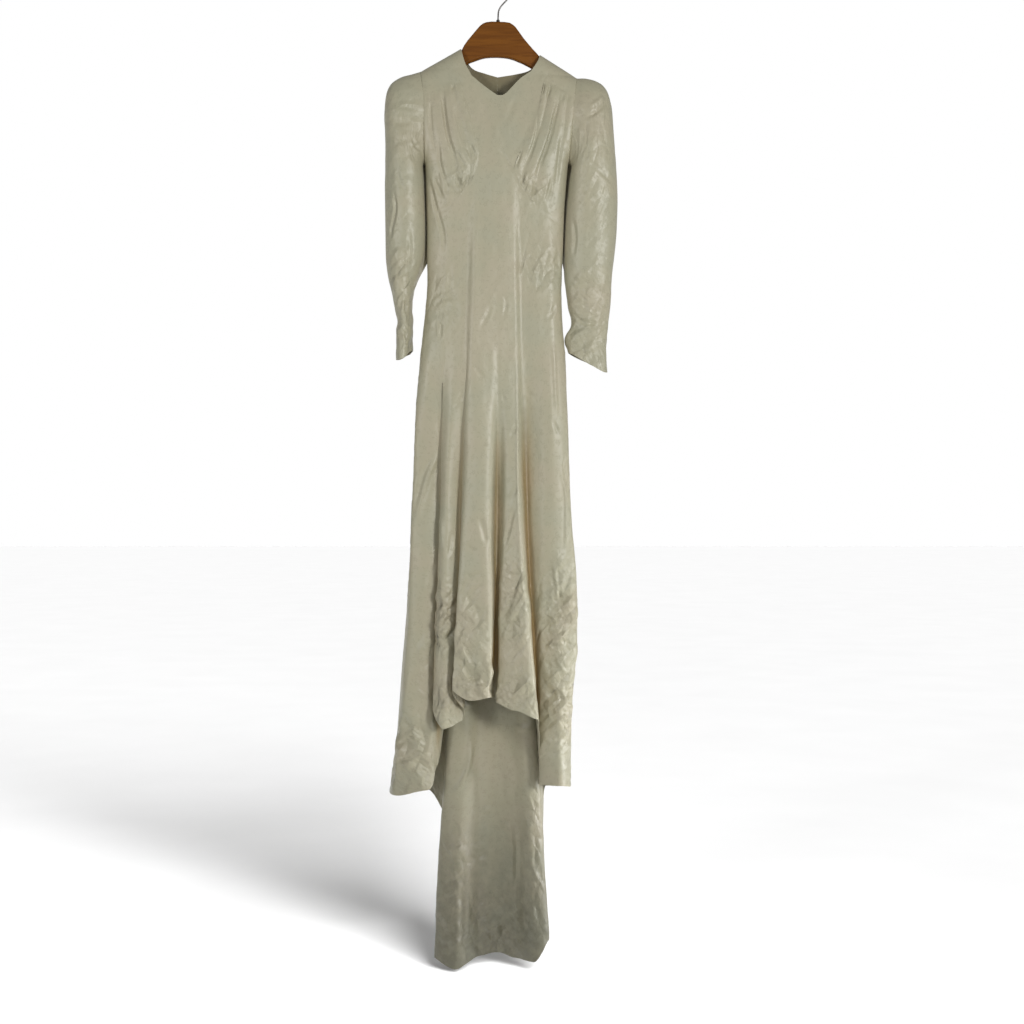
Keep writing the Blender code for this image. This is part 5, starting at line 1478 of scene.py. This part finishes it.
def calm(points):
    """Share of its movement that each point may keep, from what lies close to it."""
    x, _, z = points.T
    right, left = ring_at(z)[:2]
    keep = SHOULDER_KEEP + (1.0 - SHOULDER_KEEP) * smooth((top_line(x) - z - 0.004) / SHOULDER_CALM)
    beside_arm = smooth((z - ARM_CALM_FOOT) / 0.06)
    to_side = np.minimum(abs(x - right), abs(x - left))
    return keep * (1.0 - ARM_CALM * beside_arm * smooth(1.0 - to_side / ARM_CALM_REACH))


normals = sheet.normals(sheet.points)
seam_distance = near_seams(sheet.points)
keep = calm(sheet.points)
pucker = PUCKER_HEIGHT * waves(sheet.points, (PUCKER_SIZE,) * 3, 77)
offsets += pucker * np.exp(-((seam_distance - PUCKER_PLACE) / PUCKER_WIDTH) ** 2)
offsets *= keep * smooth(SEAM_EASE + seam_distance / SEAM_CALM)
offsets -= SEAM_DEPTH * np.exp(-(seam_distance / SEAM_WIDTH) ** 2) * keep
offsets -= HEM_GROOVE * np.exp(-((sheet.hem - HEM_TURN) / HEM_GROOVE_WIDTH) ** 2)
moved = sheet.points + normals * offsets[:, None]
normals = sheet.normals(moved)
print(f"the cloth now stands {offsets.min() * MM:.1f} to {offsets.max() * MM:.1f} mm off its plain form")

# %% [markdown]
# ## Cutting the pieces
#
# Each piece is cut from the welded sheet as a closed wall: an outer side, an inner side
# a wall's thickness behind it, and a rim round every edge. It is drawn back from its
# border by half the seam's gap. At the top of the centre back the two halves are drawn
# back further, which leaves the short opening that the neck button closes. Shading uses
# the directions of the whole welded sheet, so that light runs smoothly over every seam.

# %% Cutting walls from the sheet
SHARPEST_CORNER = 0.4      # the draw back grows no further in sharper corners of a border
INSIDE_FOOT, INSIDE_FADE = -1.75, 0.25     # the painted shade on the inner side starts at this height
INSIDE_LOW = 0.4           # share of that painted shade below the waist
INSIDE_WAIST, INSIDE_RISE = -0.6, 0.3      # from here it grows to the whole


def border_gap(points):
    """How far each point of a border is drawn back: more in the opening at the neck."""
    gap = np.full(len(points), SEAM_GAP / 2.0)
    gap[shared_by("skirt_back_left", "skirt_back_right")] = FELLED_GAP / 2.0
    centre = np.flatnonzero(shared_by("bodice_back_left", "bodice_back_right"))
    z = points[centre, 2]
    open_share = smooth((z - NECK_SLIT_FOOT) / (BACK_NECK_DIP[1] - NECK_SLIT_FOOT))
    gap[centre] += (NECK_SLIT - SEAM_GAP / 2.0) * open_share
    return gap


GAPS = border_gap(moved)


def inward_directions(place, out, a, b, quad_out):
    """Directions into a piece, square to the border edges that leave and reach each point."""
    run = unit(place[b] - place[a])
    inward = []
    for at in (a, b):
        across = np.cross(out[at], run)
        flat = np.linalg.norm(across, axis=1) < 0.5
        across[flat] = np.cross(quad_out[flat], run[flat])
        found = np.zeros_like(place)
        found[at] = unit(across)
        inward.append(found)
    return inward


def cut_piece(piece):
    """Vertices, faces, flat places and corner directions of one piece as a closed wall."""
    quads = sheet.quads[piece]
    used, local = np.unique(quads, return_inverse=True)
    local = local.reshape(quads.shape)
    count = len(used)
    place, out = moved[used], normals[used]
    start, end = local.ravel(), np.roll(local, -1, axis=1).ravel()
    is_border = ~np.isin(start * count + end, end * count + start)
    a, b = start[is_border], end[is_border]
    quad_out = facing(place, local)
    one, two = inward_directions(place, out, a, b, np.repeat(unit(quad_out), 4, axis=0)[is_border])
    back = (one + two) / np.maximum(1.0 + (one * two).sum(axis=1), SHARPEST_CORNER)[:, None]
    outer = place + back * GAPS[used][:, None]
    vertices = np.vstack((outer, outer - out * WALL))
    rim = np.stack((b, a, a + count, b + count), axis=-1)
    faces = np.vstack((local, local[:, ::-1] + count, rim))
    flats = sheet.flat_places[piece]
    flat_of = np.zeros((count, 2))
    flat_of[local.ravel()] = flats.reshape(-1, 2)
    rim_flats = flat_of[np.stack((b, a, a, b), axis=-1)]
    own = np.zeros((count, 3))
    for corner in range(4):
        np.add.at(own, local[:, corner], quad_out)
    shine = np.where(sheet.fixed[used][:, None], unit(own), out)
    rim_out = np.repeat(unit(facing(vertices, rim)), 4, axis=0)
    shading = np.vstack((shine[local.ravel()], -shine[local[:, ::-1].ravel()], rim_out))
    return vertices, faces, np.vstack((flats, flats[:, ::-1], rim_flats)), shading


def add_cloth(piece):
    """Make one piece a mesh object whose flat places are its UV map."""
    vertices, faces, flats, shading = cut_piece(piece)
    mesh = bpy.data.meshes.new("satin_" + piece)
    mesh.from_pydata(vertices.tolist(), [], faces.tolist())
    mesh.uv_layers.new(name="cloth").data.foreach_set("uv", flats.reshape(-1).astype(np.float32))
    used = np.unique(sheet.quads[piece])
    z, none = moved[used, 2], np.zeros(len(used))
    # painted shade on the inner side, strongest up at the neck
    inside = INSIDE_LOW + (1.0 - INSIDE_LOW) * smooth((z - INSIDE_WAIST) / INSIDE_RISE)
    inside *= smooth((z - INSIDE_FOOT) / INSIDE_FADE)
    # deep and inside carry painted shade into the satin's colour
    for name, outer, inner in (("crushed", crushed[used], crushed[used]),
                               ("deep", sheet.deep[used], none), ("inside", none, inside)):
        amount = mesh.attributes.new(name, "FLOAT", "POINT")
        amount.data.foreach_set("value", np.concatenate((outer, inner)).astype(np.float32))
    rim = np.arange(len(faces)) >= 2 * len(sheet.quads[piece])
    mesh.polygons.foreach_set("use_smooth", ~rim)
    mesh.update()
    mesh.normals_split_custom_set(shading.tolist())
    made = bpy.data.objects.new("satin_" + piece, mesh)
    bpy.context.scene.collection.objects.link(made)
    return made


cloth = {piece: add_cloth(piece) for piece in sheet.quads}
triangles = {piece: 2 * len(made.data.polygons) for piece, made in cloth.items()}
print("triangles:", triangles, "in all", sum(triangles.values()))

# %% [markdown]
# ## Materials, node by node
#
# A finish is built from a few nodes that feed one Principled shader. The helper below
# adds a node, sets it up and joins it in one call, so that each recipe reads from top to
# bottom. Whatever is the same all over goes straight onto the shader's own sockets.

# %% A helper for finishes
def add_node(tree, kind, inputs=(), **settings):
    """Add a node to a tree. Inputs that are sockets are linked, and others are set."""
    made = tree.nodes.new("ShaderNode" + kind)
    for name, value in settings.items():
        setattr(made, name, value)
    for socket, value in dict(inputs).items():
        if isinstance(value, bpy.types.NodeSocket):
            tree.links.new(value, made.inputs[socket])
        else:
            made.inputs[socket].default_value = value
    return made


class Finish:
    """A material with one Principled shader, and short ways to add the nodes that feed it."""

    def __init__(self, name, **sockets):
        self.material = bpy.data.materials.new(name)
        self.material.use_nodes = True
        self.tree = self.material.node_tree
        self.shader = self.tree.nodes["Principled BSDF"]
        for socket, value in sockets.items():
            self.shader.inputs[socket.replace("_", " ")].default_value = value

    def add(self, kind, inputs=(), **settings):
        """Add a node to the finish."""
        return add_node(self.tree, kind, inputs, **settings)

    def place(self):
        """The place on the object, in metres."""
        return self.add("TexCoord").outputs["Object"]

    def math(self, operation, *values):
        """Result of a Math node."""
        return self.add("Math", enumerate(values), operation=operation).outputs[0]

    def vector(self, operation, *values):
        """Vector that comes out of a Vector Math node."""
        return self.add("VectorMath", enumerate(values), operation=operation).outputs[0]

    def length(self, vector):
        """Length of a vector."""
        return self.add("VectorMath", {0: vector}, operation="LENGTH").outputs["Value"]

    def mapped(self, vector, **inputs):
        """A vector moved, turned or scaled."""
        return self.add("Mapping", {"Vector": vector, **inputs}).outputs["Vector"]

    def within(self, value, low, high):
        """1 below low, 0 above high, and smooth between."""
        ends = {"Value": value, "From Min": low, "From Max": high, "To Min": 1.0, "To Max": 0.0}
        return self.add("MapRange", ends, interpolation_type="SMOOTHSTEP").outputs["Result"]

    def noise(self, vector, scale, detail=2.0, **settings):
        """Value of a noise from 0 to 1."""
        inputs = {"Vector": vector, "Scale": scale, "Detail": detail}
        return self.add("TexNoise", inputs, **settings).outputs["Fac"]

    def ramp(self, value, *stops):
        """Colours at places from 0 to 1."""
        made = self.add("ValToRGB", {"Fac": value})
        while len(made.color_ramp.elements) < len(stops):
            made.color_ramp.elements.new(0.5)
        for element, (place, color) in zip(made.color_ramp.elements, stops):
            element.position, element.color = place, (*color, 1.0)
        return made.outputs["Color"]

    def mix(self, share, one, color, blend="MIX"):
        """A colour turned into another, or multiplied by it, by a share."""
        made = self.add("Mix", {0: share, 6: one, 7: (*color, 1.0)}, data_type="RGBA", blend_type=blend)
        return made.outputs[2]

    def feed(self, socket, value):
        """Join a value to one of the shader's sockets."""
        self.tree.links.new(value, self.shader.inputs[socket])

    def bump(self, *layers):
        """Bumps laid over each other, each a height from 0 to 1 and its depth in metres."""
        below = {}
        for height, depth in layers:
            inputs = {"Height": height, "Distance": depth, "Strength": 1.0, **below}
            below = {"Normal": self.add("Bump", inputs).outputs["Normal"]}
        self.feed("Normal", below["Normal"])


print("finishes are built from nodes on one Principled shader")

# %% [markdown]
# ## The figured satin
#
# Satin floats its warp over the weft, which gives a smooth face with a soft gloss. The
# figures are woven the other way, so they look a little darker and duller from most
# sides: loose five-petalled flowers with small leaves strewn between them. Their places
# come from Voronoi cells in the flat cloth's own coordinates, so that they follow every
# fold. The ivory isn't even either: it leans to green and to pink in broad patches. Shade
# is painted into it as well: warm painted shade between the folds and on the inner side,
# and a grey darkening towards the train's foot that is partly floor grime and partly
# painted shade. Where the cloth is crushed, sharp planes finer than the mesh can carry
# go on in the bump.

# %% Satin
FLOWER_CELL, FLOWER_LOOSE = 0.027, 0.6     # how far apart, and how far out of line
FLOWER_RADIUS = 0.0060
PETALS, PETAL_DEPTH = 5.0, 0.26            # the petals' notches, as a share of the radius
FLOWER_EYE = (0.0010, 0.0018)              # where the plain eye of a flower fades out
LEAF_CELL, LEAF_LOOSE = 0.0135, 0.9
LEAF_HALF = (0.0036, 0.0014)
WHOLE_TURN = 6.3                           # radians
IVORY = ((0.36, (0.392, 0.377, 0.268)), (0.50, (0.410, 0.383, 0.268)), (0.64, (0.428, 0.389, 0.278)))
DULL_IVORY = (0.355, 0.332, 0.232)
FIGURE_TINT = (0.86, 0.86, 0.85)
FOLD_SHADE_TINT = (0.70, 0.52, 0.29)             # painted shade between the folds, warm and dark
# painted shade on the inner side, seen through the neck and under the hems
INSIDE_SHADE_TINT = (0.51, 0.475, 0.37)
GRIME_AND_SHADE_TINT = (0.305, 0.31, 0.29)         # darker towards the train's foot: partly floor grime, partly painted shade
GRIME_AND_SHADE_FROM, GRIME_AND_SHADE_TO = -1.56, -2.14


def strewn(finish, flat, spacing, loose, channel):
    """Where each place lies from the nearest of some strewn figures, and that one's turn."""
    cells = finish.add("TexVoronoi", {"Vector": flat, "Scale": 1.0 / spacing, "Randomness": loose},
                       voronoi_dimensions="2D").outputs
    turn = finish.add("SeparateColor", {"Color": cells["Color"]}).outputs[channel]
    return finish.vector("SUBTRACT", flat, cells["Position"]), finish.math("MULTIPLY", turn, WHOLE_TURN)


def flower_mask(finish, flat):
    """1 on the petals of flowers strewn over the flat cloth."""
    away, turn = strewn(finish, flat, FLOWER_CELL, FLOWER_LOOSE, 0)
    parts = finish.add("SeparateXYZ", {"Vector": away}).outputs
    angle = finish.math("ADD", finish.math("ARCTAN2", parts["Y"], parts["X"]), turn)
    petal = finish.math("COSINE", finish.math("MULTIPLY", angle, PETALS))
    notch = PETAL_DEPTH * FLOWER_RADIUS
    reach = finish.math("MULTIPLY_ADD", petal, notch, FLOWER_RADIUS - notch)
    length = finish.length(away)
    petals = finish.within(finish.math("DIVIDE", length, reach), 0.80, 1.10)
    return finish.math("SUBTRACT", petals, finish.within(length, *FLOWER_EYE))


def leaf_mask(finish, flat):
    """1 on small leaves strewn over the flat cloth, each turned its own way."""
    away, turn = strewn(finish, flat, LEAF_CELL, LEAF_LOOSE, 1)
    turned = finish.add("VectorRotate", {"Vector": away, "Angle": turn}, rotation_type="Z_AXIS").outputs[0]
    scaled = finish.vector("MULTIPLY", turned, (1.0 / LEAF_HALF[0], 1.0 / LEAF_HALF[1], 0.0))
    return finish.within(finish.length(scaled), 0.75, 1.15)


def crumple(finish, flat, size, lean):
    """Long flat planes about `size` across that meet in sharp creases, as shares of the size."""
    turned = finish.mapped(flat, Rotation=(0.0, 0.0, math.radians(lean)))
    squares = []
    for shift in (0.0, 0.73):
        where = finish.mapped(turned, Location=(shift, 0.5 * shift, 0.0),
                              Scale=(1.0, 1.0 / FACET_STRETCH, 1.0))
        cells = finish.add("TexVoronoi", {"Vector": where, "Scale": 1.0 / size}, voronoi_dimensions="2D")
        squares.append(finish.math("POWER", cells.outputs["Distance"], 2.0))
    return finish.math("SUBTRACT", *squares)


def ivory_satin(name):
    """The dress's ivory satin with its woven figures."""
    finish = Finish(name, Sheen_Weight=0.12, Sheen_Roughness=0.4, Specular_IOR_Level=0.55)
    flat = finish.add("UVMap", uv_map="cloth").outputs["UV"]
    place = finish.place()
    deep, inside, crushed_share = (finish.add("Attribute", attribute_name=own).outputs["Fac"]
                                   for own in ("deep", "inside", "crushed"))
    figure = finish.math("MAXIMUM", flower_mask(finish, flat), leaf_mask(finish, flat))
    worn = finish.math("MULTIPLY", finish.noise(flat, 25.0, 3.0), figure)
    mottle = finish.noise(place, 60.0, 4.0)
    height = finish.add("SeparateXYZ", {"Vector": place}).outputs["Z"]
    # darker towards the train's foot: partly floor grime, partly painted shade
    low_down = finish.within(height, GRIME_AND_SHADE_TO, GRIME_AND_SHADE_FROM)
    grime_and_shade = finish.math("MULTIPLY", low_down, finish.math("MULTIPLY_ADD", mottle, 0.5, 0.75))
    base = finish.ramp(finish.noise(place, 11.0, 3.0), *IVORY)
    base = finish.mix(finish.math("MULTIPLY", mottle, 0.30), base, DULL_IVORY)
    # the fold, inner-side and train-foot tints are painted shade, the last one partly floor grime
    for share, tint in ((worn, FIGURE_TINT), (deep, FOLD_SHADE_TINT), (inside, INSIDE_SHADE_TINT),
                        (grime_and_shade, GRIME_AND_SHADE_TINT)):
        base = finish.mix(share, base, tint, blend="MULTIPLY")
    finish.feed("Base Color", base)
    finish.feed("Roughness", finish.math("MULTIPLY_ADD", figure, 0.10, 0.42))

    def where_crushed(height, elsewhere):
        """A height in full where the cloth is crushed, and a share of it elsewhere."""
        share = finish.math("MULTIPLY_ADD", crushed_share, 1.0 - elsewhere, elsewhere)
        return finish.math("MULTIPLY", height, share)

    broad = where_crushed(crumple(finish, flat, 0.020, 35.0), 0.06)
    small = where_crushed(crumple(finish, flat, 0.008, -40.0), 0.10)
    ridges = finish.noise(flat, 55.0, 3.0, noise_type="RIDGED_MULTIFRACTAL", normalize=True)
    creased = where_crushed(ridges, 0.10)
    threads = finish.add("TexWave", {"Vector": flat, "Scale": 330.0, "Distortion": 1.5, "Detail": 1.0},
                         bands_direction="DIAGONAL").outputs["Fac"]
    finish.bump((broad, 0.0055), (small, 0.0011), (creased, 0.0007), (figure, 0.00006), (threads, 0.00003))
    return finish.material


SATIN = ivory_satin("ivory_satin")
BUTTON_SATIN = ivory_satin("button_satin")
print(f"satin: flowers about {FLOWER_CELL * MM:.0f} mm apart, {2.0 * FLOWER_RADIUS * MM:.0f} mm across")

# %% [markdown]
# ## The pieces on the frame
#
# Each satin piece stands for the plain solid it was laid out with, rides on the dress's
# one body and takes the satin. What each piece hangs from is listed, and the size it was
# cut to is measured along the cloth itself, over its folds.

# %% Dress pieces
HANGS_FROM = {"front_panel": ["hanger_wood"]}
for hand in ("right", "left"):
    yoke, back = "yoke_" + hand, "bodice_back_" + hand
    HANGS_FROM[yoke] = HANGS_FROM[back] = ["hanger_wood"]
    HANGS_FROM["bust_" + hand] = ["satin_" + yoke]
    HANGS_FROM["skirt_back_" + hand] = ["satin_" + back]
    HANGS_FROM["sleeve_" + hand] = ["satin_" + yoke, "satin_" + back]


def cut_size(piece):
    """Width, length and area of the cloth of a piece, along its plain form."""
    area = 0.5 * np.linalg.norm(facing(sheet.points, sheet.quads[piece]), axis=1).sum()
    flats = sheet.flat_places[piece].reshape(-1, 2)
    width, length = flats.max(axis=0) - flats.min(axis=0)
    return width, length, area


for piece, made in cloth.items():
    made.data.materials.append(SATIN)
    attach(made, "root")
    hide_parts(piece)
    width, length, area = cut_size(piece)
    area = min(area, width * length)
    print(f"{piece}: cut {width:.3f} x {length:.3f} m, {area:.3f} m2")

# %% [markdown]
# ## The button at the neck
#
# The back closes with a small button covered in the dress's own satin, drawn tight over a
# metal dome with a flat back. It is a ball pressed flat behind and pinched to a rim.

# %% Neck button
BUTTON_BACK = -0.30        # the ball, of radius 1, is pressed flat behind this place
BUTTON_PRESSED = (0.94, 0.12, 0.94)    # its size there, for each axis
BUTTON_CLOTH = (0.030, 0.015)          # flat size of the satin round it


def only_faces(mesh, test):
    """Select just the faces whose centre passes a test."""
    for vertex in mesh.vertices:
        vertex.select = False
    for edge in mesh.edges:
        edge.select = False
    for face in mesh.polygons:
        face.select = test(face.center)


def make_button():
    """Covered button where its solid stands."""
    low, high = (np.array(corner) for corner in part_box("neck_button"))
    centre, half = (low + high) / 2.0, (high - low) / 2.0
    bpy.ops.object.select_all(action="DESELECT")
    quarter_turn = (math.radians(90), 0, 0)
    bpy.ops.mesh.primitive_uv_sphere_add(segments=40, ring_count=20, radius=1.0, rotation=quarter_turn)
    button = bpy.context.object
    bpy.ops.object.transform_apply(location=True, rotation=True, scale=True)
    only_faces(button.data, lambda centre: centre.y < BUTTON_BACK)
    bpy.ops.object.mode_set(mode="EDIT")
    bpy.ops.transform.resize(value=BUTTON_PRESSED, center_override=(0.0, BUTTON_BACK, 0.0))
    bpy.ops.mesh.select_all(action="SELECT")
    bpy.ops.transform.resize(value=tuple(half), center_override=(0.0, 0.0, 0.0))
    bpy.ops.transform.translate(value=tuple(centre))
    bpy.ops.object.mode_set(mode="OBJECT")
    button.name = button.data.name = "covered_neck_button"
    low_now = min(v.co.y for v in button.data.vertices)
    for vertex in button.data.vertices:
        vertex.co.y += low[1] - low_now
    bpy.ops.object.shade_smooth()
    return button


button = make_button()
button.data.uv_layers[0].name = "cloth"
for corner in button.data.uv_layers["cloth"].data:
    corner.uv = (corner.uv[0] * BUTTON_CLOTH[0], corner.uv[1] * BUTTON_CLOTH[1])
button.data.materials.clear()
button.data.materials.append(BUTTON_SATIN)
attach(button, "root")
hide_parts("neck_button")
print("button", [round(MM * d, 1) for d in button.dimensions], "mm")

# %% [markdown]
# ## The hanger's finishes
#
# The hanger is sawn from a beech board: fine grain runs along the shoulders, with short
# dark flecks, under a brown varnish that is a little lighter in some places. Its hook
# and ferrule are steel wire gone dark with age, a little rough to the touch.

# %% Varnished beech and dark wire
def varnished_beech():
    """Brown varnish over beech, its grain along X."""
    finish = Finish("varnished_beech", Coat_Weight=0.10, Coat_Roughness=0.25, Specular_IOR_Level=0.22)
    place = finish.place()
    along = finish.mapped(place, Scale=(0.09, 1.0, 1.0))
    grain = finish.noise(along, 190.0, 5.0)
    wood = finish.ramp(finish.noise(along, 34.0, 3.0), (0.25, (0.150, 0.048, 0.0030)),
                       (0.50, (0.185, 0.062, 0.0040)), (0.75, (0.220, 0.078, 0.0060)))
    dark_grain = finish.within(grain, 0.36, 0.56)
    finish.feed("Base Color", finish.mix(dark_grain, wood, (0.80, 0.77, 0.72), blend="MULTIPLY"))
    finish.feed("Roughness", finish.math("MULTIPLY_ADD", grain, 0.16, 0.32))
    pits = finish.noise(finish.mapped(place, Scale=(0.05, 1.0, 1.0)), 700.0, 3.0)
    finish.bump((pits, 0.00012), (finish.noise(place, 40.0, 2.0), 0.0006))
    return finish.material


def dark_wire():
    """Steel wire gone dark, with fine scratches and dull spots."""
    finish = Finish("dark_wire", Metallic=0.85)
    spots = finish.noise(finish.place(), 240.0, 4.0)
    finish.feed("Base Color", finish.ramp(spots, (0.35, (0.055, 0.050, 0.046)), (0.62, (0.135, 0.128, 0.120)),
                                          (0.80, (0.110, 0.070, 0.040))))
    finish.feed("Roughness", finish.math("MULTIPLY_ADD", spots, 0.30, 0.26))
    finish.bump((finish.noise(finish.place(), 900.0, 2.0), 0.00004))
    return finish.material


def give_finish(node, finish):
    """Put a finish on every material slot of a CAD node."""
    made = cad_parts[node]
    if not made.material_slots:
        made.data.materials.append(finish)
    for slot in made.material_slots:
        slot.material = finish


give_finish("hanger_wood", varnished_beech())
wire = dark_wire()
for node in ("hanger_ferrule", "hanger_hook"):
    give_finish(node, wire)
print("hanger: varnished beech with a dark wire hook")

# %% [markdown]
# ## Floor, light and camera
#
# A sheet of white paper lies just under the train and runs away behind it. The key lamp is
# a big soft one to the front, on the wearer's left, and a fill lamp of under half its
# power stands on the other side: both come in at a slant, so that every fold has a bright
# and a dark flank. A low lamp from the side gives the skirt and the train a lit edge. The
# white surroundings fill the shadows. A lamp high up lights the paper alone, so that it
# stays white, with the dress's soft shadow on it.

# %% Floor
FLOOR_Z = -2.130
FLOOR_FRONT, FLOOR_BACK, FLOOR_HALF = -0.31, 40.0, 30.0
bpy.ops.object.select_all(action="DESELECT")
bpy.ops.mesh.primitive_plane_add(size=1.0)
floor = bpy.context.object
floor.name = floor.data.name = "studio_floor"
bpy.ops.object.mode_set(mode="EDIT")
bpy.ops.mesh.select_all(action="SELECT")
bpy.ops.transform.resize(value=(2.0 * FLOOR_HALF, FLOOR_BACK - FLOOR_FRONT, 1.0))
bpy.ops.transform.translate(value=(0.0, (FLOOR_BACK + FLOOR_FRONT) / 2.0, FLOOR_Z))
bpy.ops.object.mode_set(mode="OBJECT")
paper = Finish("floor_paper", Roughness=0.9, Specular_IOR_Level=0.0)
speckle = paper.noise(paper.place(), 3.0, 4.0)
paper.feed("Base Color", paper.ramp(speckle, (0.3, (0.88, 0.88, 0.88)), (0.7, (0.90, 0.90, 0.90))))
floor.data.materials.append(paper.material)

# %% Light
WHITE = (1.0, 1.0, 1.0, 1.0)
WORLD_GLOW = 0.39          # at the level of the dress and below
OVERHEAD_GLOW = 0.15
SPOT_LAMPS = (
    # name,      place,                 lit place,          power, cone, softness
    ("key_lamp", (2.90, -4.10, -0.20), (0.02, 0.0, -0.84), 540.0, 41.0, 0.50),
    ("fill_lamp", (-2.90, -4.10, -0.20), (0.02, 0.0, -0.84), 245.0, 41.0, 0.50),
    ("edge_lamp", (2.50, -0.20, -1.75), (0.10, 0.0, -1.92), 170.0, 52.0, 0.40),
)
PAPER_LIGHT = 4.9
PAPER_LIGHT_TRAVEL = (-0.45, 0.90, -0.66)
PAPER_LIGHT_ANGLE = 29.0   # degrees: the wider, the softer the shadow's edge


def add_world():
    """White surroundings that shine less from overhead, and are plain white to the camera."""
    world = bpy.data.worlds.new("white_studio")
    world.use_nodes = True
    bpy.context.scene.world = world
    tree = world.node_tree
    tree.nodes.clear()
    upward = add_node(tree, "SeparateXYZ", {0: add_node(tree, "TexCoord").outputs["Generated"]}).outputs["Z"]
    dimmer = add_node(tree, "MapRange", {"Value": upward, "To Min": WORLD_GLOW, "To Max": OVERHEAD_GLOW})
    glow = add_node(tree, "Background", {"Color": WHITE, "Strength": dimmer.outputs["Result"]})
    backdrop = add_node(tree, "Background", {"Color": WHITE, "Strength": 1.0})
    seen = add_node(tree, "LightPath").outputs["Is Camera Ray"]
    chosen = add_node(tree, "MixShader", {0: seen, 1: glow.outputs[0], 2: backdrop.outputs[0]})
    add_node(tree, "OutputWorld", {"Surface": chosen.outputs[0]})


def add_lamp(name, kind, place, travel, power):
    """A lamp at a place that shines along a direction."""
    data = bpy.data.lights.new(name, kind)
    data.energy = power
    lamp = bpy.data.objects.new(name, data)
    lamp.location = place
    lamp.rotation_euler = Vector(travel).to_track_quat("-Z", "Y").to_euler()
    bpy.context.scene.collection.objects.link(lamp)
    return lamp


add_world()
for name, place, lit, power, cone, softness in SPOT_LAMPS:
    spot = add_lamp(name, "SPOT", place, np.subtract(lit, place), power).data
    spot.spot_size = math.radians(cone)
    spot.spot_blend = 1.0
    spot.shadow_soft_size = softness
paper_lamp = add_lamp("paper_lamp", "SUN", (0.0, 0.0, 2.0), PAPER_LIGHT_TRAVEL, PAPER_LIGHT)
paper_lamp.data.angle = math.radians(PAPER_LIGHT_ANGLE)
paper_lit = bpy.data.collections.new("lit_by_paper_lamp")
paper_lit.objects.link(floor)
paper_lamp.light_linking.receiver_collection = paper_lit
print(f"{len(SPOT_LAMPS)} soft spot lamps, a lamp for the paper, and white all round")

# %% Camera
FRAME_WIDTH = 2.2016       # width of the view at the dress, in metres
CAMERA_AWAY = 3.2
VIEW_X, VIEW_Z = 0.028, -1.1335        # the middle of the view
SENSOR_WIDTH = 36.0        # in millimetres
camera_data = bpy.data.cameras.new("camera")
camera_data.sensor_width = SENSOR_WIDTH
camera_data.lens = SENSOR_WIDTH * CAMERA_AWAY / FRAME_WIDTH
camera = bpy.data.objects.new("camera", camera_data)
camera.location = (VIEW_X, -CAMERA_AWAY, VIEW_Z)
camera.rotation_euler = (math.radians(90), 0.0, 0.0)
bpy.context.scene.collection.objects.link(camera)
bpy.context.scene.camera = camera
bpy.context.scene.view_settings.view_transform = "Standard"
print(f"camera {CAMERA_AWAY} m in front, lens {camera_data.lens:.1f} mm")
